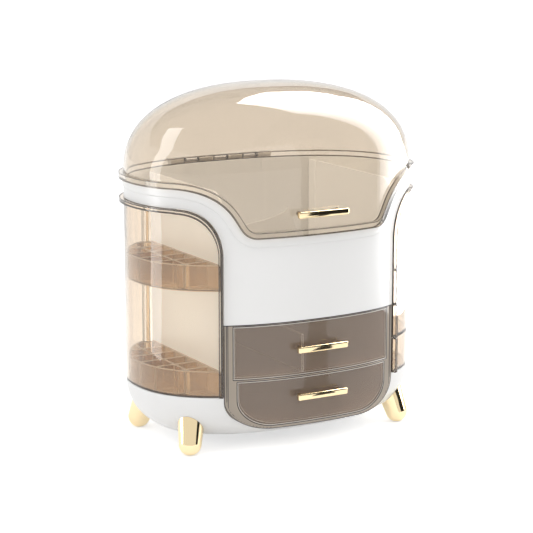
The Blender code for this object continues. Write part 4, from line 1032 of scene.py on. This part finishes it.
def door_moulding():
    """Wall and barrel in one loft, with the bead joined to it."""
    outer = unit_outside()[:-1]
    inner = unit_inside(UNIT_WALL, 0.0, UNIT_BARREL_RADIUS)[:-1]
    loops = []
    for index, (far, near) in enumerate(zip(outer, inner)):
        top = unit_top(index, UNIT_HIGH_Z)
        loops.append(mirrored([(*far, UNIT_LOW_Z), (*far, top), (*near, top), (*near, UNIT_LOW_Z)], -1))
    piece = combine(loft("door_moulding", loops), corner_bead("door_bead", -1, UNIT_LOW_Z), "UNION")
    return combine(piece, rod_hole(-1, UNIT_LOW_Z - OVERRUN, UNIT_HIGH_Z + OVERRUN), "DIFFERENCE")


pale_champagne = clear_plastic("pale_champagne_plastic", PALE_TINT, PALE_EDGE_TINT)
seat(door_moulding(), pale_champagne, "left_unit", "champagne_plastic", "left_door",
     corner=champagne_shade_line, radius=DOOR_CORD_RADIUS, sink=DOOR_CORD_SINK)


# Lipstick trays
# Two thick trays that fill the width of the door, each sunk with two rows of
# upright cells. They are the same champagne plastic, which looks browner in bulk.
UNIT_FLOOR = 0.0020
LIPSTICK_TRAY_HEIGHT = 0.0250
UPPER_LIPSTICK_LIFT = 0.1042
CELL_PITCH = 0.0241
CELL_ROW_DEPTH = 0.0245
CELL_WALL = 0.0014
CELL_LEAST = 0.0100
UPPER_LIPSTICK_Z = UNIT_LOW_Z + UPPER_LIPSTICK_LIFT
THICK_TINT = (0.96, 0.82, 0.63)
THICK_EDGE_TINT = (0.76, 0.57, 0.39)
THICK_HAZE_TINT = (0.90, 0.68, 0.46)
THICK_HAZE_SHARE = 0.15
THICK_ROUGHNESS = 0.03
THICK_HIGHLIGHT_LINE_COLOUR = (0.80, 0.68, 0.54, 1.0)
TRAY_CORD_RADIUS = 0.0004
TRAY_CORD_SINK = 0.0002


def side_arc(front_x, rear_x, inset):
    """Plan curve round the right end, from just after front_x to rear_x."""
    front = -plan_angle(front_x)
    rear = plan_angle(rear_x)
    angles = spread(front, rear, 2 * QUARTER_STEPS)[1:]
    points = [tuple(plan_point(angle, inset)) for angle in angles]
    return points + [(rear_x, plan_y(rear_x, inset))]


def clipped(outline, low_x, high_x, low_y, high_y):
    """Part of a convex outline inside a rectangle."""
    for axis, limit, keep_above in (
            (0, low_x, True), (0, high_x, False), (1, low_y, True), (1, high_y, False)):
        kept = []
        for index, spot in enumerate(outline):
            before = outline[index - 1]
            inside = (spot[axis] >= limit) == keep_above
            was_inside = (before[axis] >= limit) == keep_above
            if inside != was_inside:
                share = (limit - before[axis]) / (spot[axis] - before[axis])
                kept.append(tuple(b + (a - b) * share for a, b in zip(spot, before)))
            if inside:
                kept.append(spot)
        outline = kept
    return outline


def tray_of_cells(name, low, high):
    """Tray outline raised to its height, with the cells cut from above."""
    inset = UNIT_WALL + SEAT_GAP
    outline = unit_inside(inset, 0.0, UNIT_BARREL_RADIUS + SEAT_GAP)
    piece = prism(name, mirrored(outline, -1), low, high)
    room = unit_curve(inset + CELL_WALL, CELL_WALL, 0.0) + [
        spot for spot in side_arc(UNIT_PIVOT_X, UNIT_INNER_X + CELL_WALL, inset + CELL_WALL) if spot[1] > 0]
    rear_y = pivot_y() - UNIT_BARREL_RADIUS - SEAT_GAP - CELL_WALL
    count = round((rear_y - room[0][1]) / CELL_PITCH)
    pitch = (rear_y - room[0][1] + CELL_WALL) / count
    for row in range(2):
        left_x = UNIT_INNER_X + CELL_WALL + row * CELL_ROW_DEPTH
        right_x = left_x + CELL_ROW_DEPTH - CELL_WALL if row == 0 else HALF_WIDTH
        for column in range(count):
            near_y = room[0][1] + column * pitch
            cell = clipped(room, left_x, right_x, near_y, near_y + pitch - CELL_WALL)
            if len(cell) < 3 or max(x for x, _ in cell) - left_x < CELL_LEAST:
                continue
            if max(y for _, y in cell) - min(y for _, y in cell) < CELL_LEAST:
                continue
            room_for_case = prism("cell", mirrored(cell, -1), low + UNIT_FLOOR, high + OVERRUN)
            piece = combine(piece, room_for_case, "DIFFERENCE")
    return piece


thick = clear_plastic("thick_champagne_plastic", THICK_TINT, THICK_EDGE_TINT, THICK_HAZE_TINT,
                      THICK_HAZE_SHARE, THICK_ROUGHNESS)
# Painted highlight lines along the sharp corners of the cell walls.
thick_highlight_line = painted_line_plastic("thick_highlight_line", THICK_HIGHLIGHT_LINE_COLOUR)
for level, low in (("lower", UNIT_LOW_Z), ("upper", UPPER_LIPSTICK_Z)):
    tray = tray_of_cells(level + "_cells_moulding", low, low + LIPSTICK_TRAY_HEIGHT)
    seat(tray, thick, "left_unit", "champagne_plastic", level + "_lipstick_tray",
         corner=thick_highlight_line, radius=TRAY_CORD_RADIUS, sink=TRAY_CORD_SINK)
paint_solid("left_pivot_rod", thick)
paint_solid("right_pivot_rod", thick)


# Right trays
# Four clear trays threaded on one rod, so each swings out by itself. Each has a
# curved outer wall, a low inner lip and a bead up its front edge.
ROD_BOSS_WALL = 0.0023
BOTTOM_TRAY_HEIGHT = 0.0359
LOWER_MIDDLE_TRAY_HEIGHT = 0.0348
UPPER_MIDDLE_TRAY_HEIGHT = 0.0355
RIGHT_LIP_HEIGHT = 0.0220
LIP_RISE = 0.0060


def straight_bead(name, side, low, high):
    """Bead up the front edge of a low tray."""
    front = plan_normal(UNIT_INNER_X, -1)
    places = [(Vector((UNIT_INNER_X, -plan_y(UNIT_INNER_X), z)), front)
              for z in (low + BEAD_LAP, high - BEAD_LAP)]
    return bead_loft(name, side, places)


def swing_tray(name, low, high):
    """Tray with its floor, walls and lip in one loft, then bead and rod hole."""
    boss = ROD_RADIUS + ROD_CLEARANCE + ROD_BOSS_WALL
    outer = unit_outside()
    inner = unit_inside(UNIT_WALL, UNIT_WALL, boss)
    tops = [unit_top(index, high) for index in range(len(outer))]
    lip_z = low + RIGHT_LIP_HEIGHT
    front_y = outer[0][1]
    for y in (pivot_y() - UNIT_BARREL_RADIUS - LIP_RISE, front_y + UNIT_BARREL_RADIUS + LIP_RISE):
        outer.append((UNIT_INNER_X, y))
        inner.append((UNIT_INNER_X + UNIT_WALL, y))
        tops.append(lip_z)
    floor_z = low + UNIT_FLOOR
    rows = [
        [(*spot, low) for spot in outer],
        [(*spot, top) for spot, top in zip(outer, tops)],
        [(*spot, top) for spot, top in zip(inner, tops)],
        [(*spot, floor_z) for spot in inner],
    ]
    is_top = high == UNIT_HIGH_Z
    bead = corner_bead("bead", 1, low) if is_top else straight_bead("bead", 1, low, high)
    piece = combine(loft(name, rows), bead, "UNION")
    return combine(piece, rod_hole(1, low - OVERRUN, high + OVERRUN), "DIFFERENCE")


splits = [UNIT_LOW_Z + BOTTOM_TRAY_HEIGHT]
for height in (LOWER_MIDDLE_TRAY_HEIGHT, UPPER_MIDDLE_TRAY_HEIGHT):
    splits.append(splits[-1] + height)
lows = [UNIT_LOW_Z] + [split + RUN_GAP / 2 for split in splits]
highs = [split - RUN_GAP / 2 for split in splits] + [UNIT_HIGH_Z]
for level, low, high in zip(("bottom", "lower_middle", "upper_middle", "top"), lows, highs):
    tray = swing_tray("swing_tray_" + level, low, high)
    seat(tray, pale_champagne, "right_tray_" + level, "champagne_plastic", "right_tray_" + level,
         corner=champagne_shade_line)


# Studio
# A pale floor in a soft white room, two lamps, and the camera where the photograph
# was taken from. The clear plastic and the gold mirror glowing panels and dark cards,
# which stand only for reflections.
CAMERA_TURN = radians(29.64)
CAMERA_RISE = radians(11.38)
CAMERA_DISTANCE = 1.8597
CAMERA_TARGET = Vector((0.0, MIDDLE_Y, 0.1653))
FOCAL_PIXELS = 1830.76
FRAME_PIXELS = 533
SIDEWAYS_PIXELS = 1.92
ROOM_LIGHT = 0.72
FLOOR_COLOUR = (0.90, 0.90, 0.90, 1.0)
FLOOR_ROUGHNESS = 0.9
FLOOR_GLOW = 0.58

away = Vector((-sin(CAMERA_TURN) * cos(CAMERA_RISE), -cos(CAMERA_TURN) * cos(CAMERA_RISE), sin(CAMERA_RISE)))
lens = bpy.data.cameras.new("camera")
lens.sensor_width = 36.0
lens.lens = 36.0 * FOCAL_PIXELS / FRAME_PIXELS
lens.shift_x = -SIDEWAYS_PIXELS / FRAME_PIXELS
lens.clip_end = 60.0
camera = bpy.data.objects.new("camera", lens)
camera.location = CAMERA_TARGET + away * CAMERA_DISTANCE
camera.rotation_euler = (-away).to_track_quat("-Z", "Y").to_euler()
bpy.context.collection.objects.link(camera)
bpy.context.scene.camera = camera

world = bpy.data.worlds.new("studio")
bpy.context.scene.world = world
world.use_nodes = True


def calculated(tree, operation, first, second):
    """Output of a math node fed with two sockets or numbers."""
    return add(tree, "ShaderNodeMath", {0: first, 1: second}, operation=operation)["Value"]


def seen_directly(tree):
    """1 for a ray that comes here before any diffuse bounce, or else 0."""
    path = add(tree, "ShaderNodeLightPath", {})
    seen = calculated(tree, "MAXIMUM", path["Is Camera Ray"], path["Is Glossy Ray"])
    seen = calculated(tree, "MAXIMUM", seen, path["Is Transmission Ray"])
    direct = calculated(tree, "LESS_THAN", path["Diffuse Depth"], 0.5)
    return calculated(tree, "MULTIPLY", seen, direct)


tree = world.node_tree
backdrop = tree.nodes["Background"]
backdrop.inputs["Color"].default_value = (1.0, 1.0, 1.0, 1.0)
strength = add(tree, "ShaderNodeMapRange", {
    "Value": seen_directly(tree), "To Min": ROOM_LIGHT, "To Max": 1.0})
tree.links.new(strength["Result"], backdrop.inputs["Strength"])

bpy.ops.mesh.primitive_plane_add(size=40.0)
floor = bpy.context.object
floor.name = "floor"
pale = bpy.data.materials.new("pale_floor")
pale.use_nodes = True
tree = pale.node_tree
paint = tree.nodes["Principled BSDF"]
paint.inputs["Base Color"].default_value = FLOOR_COLOUR
paint.inputs["Roughness"].default_value = FLOOR_ROUGHNESS
glow = add(tree, "ShaderNodeEmission", {
    "Strength": calculated(tree, "MULTIPLY", seen_directly(tree), FLOOR_GLOW)})
both = add(tree, "ShaderNodeAddShader", {0: paint.outputs["BSDF"], 1: glow["Emission"]})
tree.links.new(both["Shader"], tree.nodes["Material Output"].inputs["Surface"])
floor.data.materials.append(pale)


def soft_box(name, place, aim, width, height, watts):
    """Rectangular lamp that faces a point of the object."""
    lamp = bpy.data.lights.new(name, "AREA")
    lamp.shape = "RECTANGLE"
    lamp.size = width
    lamp.size_y = height
    lamp.energy = watts
    holder = bpy.data.objects.new(name, lamp)
    holder.location = place
    holder.rotation_euler = (Vector(aim) - Vector(place)).to_track_quat("-Z", "Y").to_euler()
    holder.visible_transmission = False
    holder.visible_glossy = False
    holder.visible_camera = False
    bpy.context.collection.objects.link(holder)


soft_box("overhead_box", (0.30, -0.90, 2.20), (0.0, 0.0, 0.20), 1.20, 0.90, 16.0)
soft_box("left_box", (-2.10, -0.20, 0.70), (0.0, 0.0, 0.15), 1.20, 1.20, 7.0)


CARD_X = 0.42
DARK = (0.01, 0.01, 0.01)
ROOF_COLOUR = (0.10, 0.09, 0.08)
ROOF_Z = 2.6
ROOF_REACH = 4
PANEL_COLOUR = (1.0, 1.0, 1.0)
RIGHT_PANEL_GLOW = 12.0
RIGHT_PANEL_FADE = 0.15
LEFT_PANEL_GLOW = 5.0
FADE_BEND_Z = 0.80
FADE_BEND_POWER = 1.9
FADE_BEND = 0.62
FADE_LEAST_SHARE = 0.22
STRIP_NEAR = 0.118
STRIP_FAR = 0.57
STRIP_Z = 0.001


def card(name, corners, colour, glow=0.0, fade=0.0):
    """Flat card or glowing panel of the studio that only glossy surfaces mirror.

    With a fade, its glow sinks towards its near edge over that length. That edge
    leans back with the height.
    """
    panel = mesh_object(name, corners, [tuple(range(len(corners)))])
    finish = bpy.data.materials.new(name)
    finish.use_nodes = True
    tree = finish.node_tree
    shader = tree.nodes["Principled BSDF"]
    shader.inputs["Base Color"].default_value = (*colour, 1.0)
    shader.inputs["Roughness"].default_value = 1.0
    shader.inputs["Emission Color"].default_value = (1.0, 1.0, 1.0, 1.0)
    shader.inputs["Emission Strength"].default_value = glow
    if fade:
        place = add(tree, "ShaderNodeTexCoord", {})
        parts = add(tree, "ShaderNodeSeparateXYZ", {"Vector": place["Object"]})
        above = add(tree, "ShaderNodeMapRange", {
            "Value": parts["Z"], "From Min": FADE_BEND_Z, "From Max": FADE_BEND_Z + 1.0})
        curve = calculated(tree, "POWER", above["Result"], FADE_BEND_POWER)
        shift = add(tree, "ShaderNodeMath", {
            0: curve, 1: -FADE_BEND, 2: parts["Y"]}, operation="MULTIPLY_ADD")
        ramp = add(tree, "ShaderNodeMapRange", {
            "Value": shift["Value"], "From Min": corners[0][1], "From Max": corners[0][1] + fade,
            "To Min": glow * FADE_LEAST_SHARE, "To Max": glow})
        tree.links.new(ramp["Result"], shader.inputs["Emission Strength"])
    panel.data.materials.append(finish)
    panel.visible_camera = False
    panel.visible_diffuse = False
    panel.visible_transmission = False
    panel.visible_shadow = False


card("right_panel", [(CARD_X, y, z) for y, z in (
    (-0.25, 0.046), (-0.25, 0.80), (-0.19, 1.08), (-0.134, 1.20), (0.344, 1.75), (0.78, 2.06), (0.69, 1.35),
    (0.589, 0.996), (0.427, 0.838), (0.25, 0.69), (0.195, 0.58), (0.14, 0.50), (0.10, 0.44), (0.06, 0.37),
    (0.03, 0.31), (0.07, 0.25), (0.14, 0.22), (0.25, 0.20), (0.25, 0.046))],
    PANEL_COLOUR, RIGHT_PANEL_GLOW, RIGHT_PANEL_FADE)
card("left_panel", [(-CARD_X, y, z) for y, z in (
    (0.018, 0.02), (0.002, 0.155), (0.012, 0.241), (-0.043, 0.483), (0.166, 0.98), (0.388, 0.865),
    (0.083, 0.444), (0.134, 0.237), (0.135, 0.146), (0.157, 0.02))], PANEL_COLOUR, LEFT_PANEL_GLOW)
card("dark_roof", [(ROOF_REACH * x, ROOF_REACH * y, ROOF_Z) for x, y in (
    (-1, -1), (1, -1), (1, 1), (-1, 1))], ROOF_COLOUR)
card("dark_card", [(sin(turn), -cos(turn), z) for turn, z in (
    (radians(22), 0.02), (radians(60), 0.02), (radians(60), 0.9), (radians(22), 0.9))], DARK)

# A dark strip on the floor, where the fronts of the drawer handles mirror it.
strip = []
front_y = MIDDLE_Y - HALF_DEPTH - HANDLE_STAND_OFF - HANDLE_DEPTH
for reach, order in ((STRIP_NEAR, (-1, 1)), (STRIP_FAR, (1, -1))):
    middle_x = -camera.location.x * reach
    y = front_y - (front_y - camera.location.y) * reach
    half = HANDLE_LENGTH / 2 * (1 + reach)
    strip += [(middle_x + side * half, y, STRIP_Z) for side in order]
card("dark_strip", strip, DARK)

bpy.context.scene.view_settings.view_transform = "Standard"
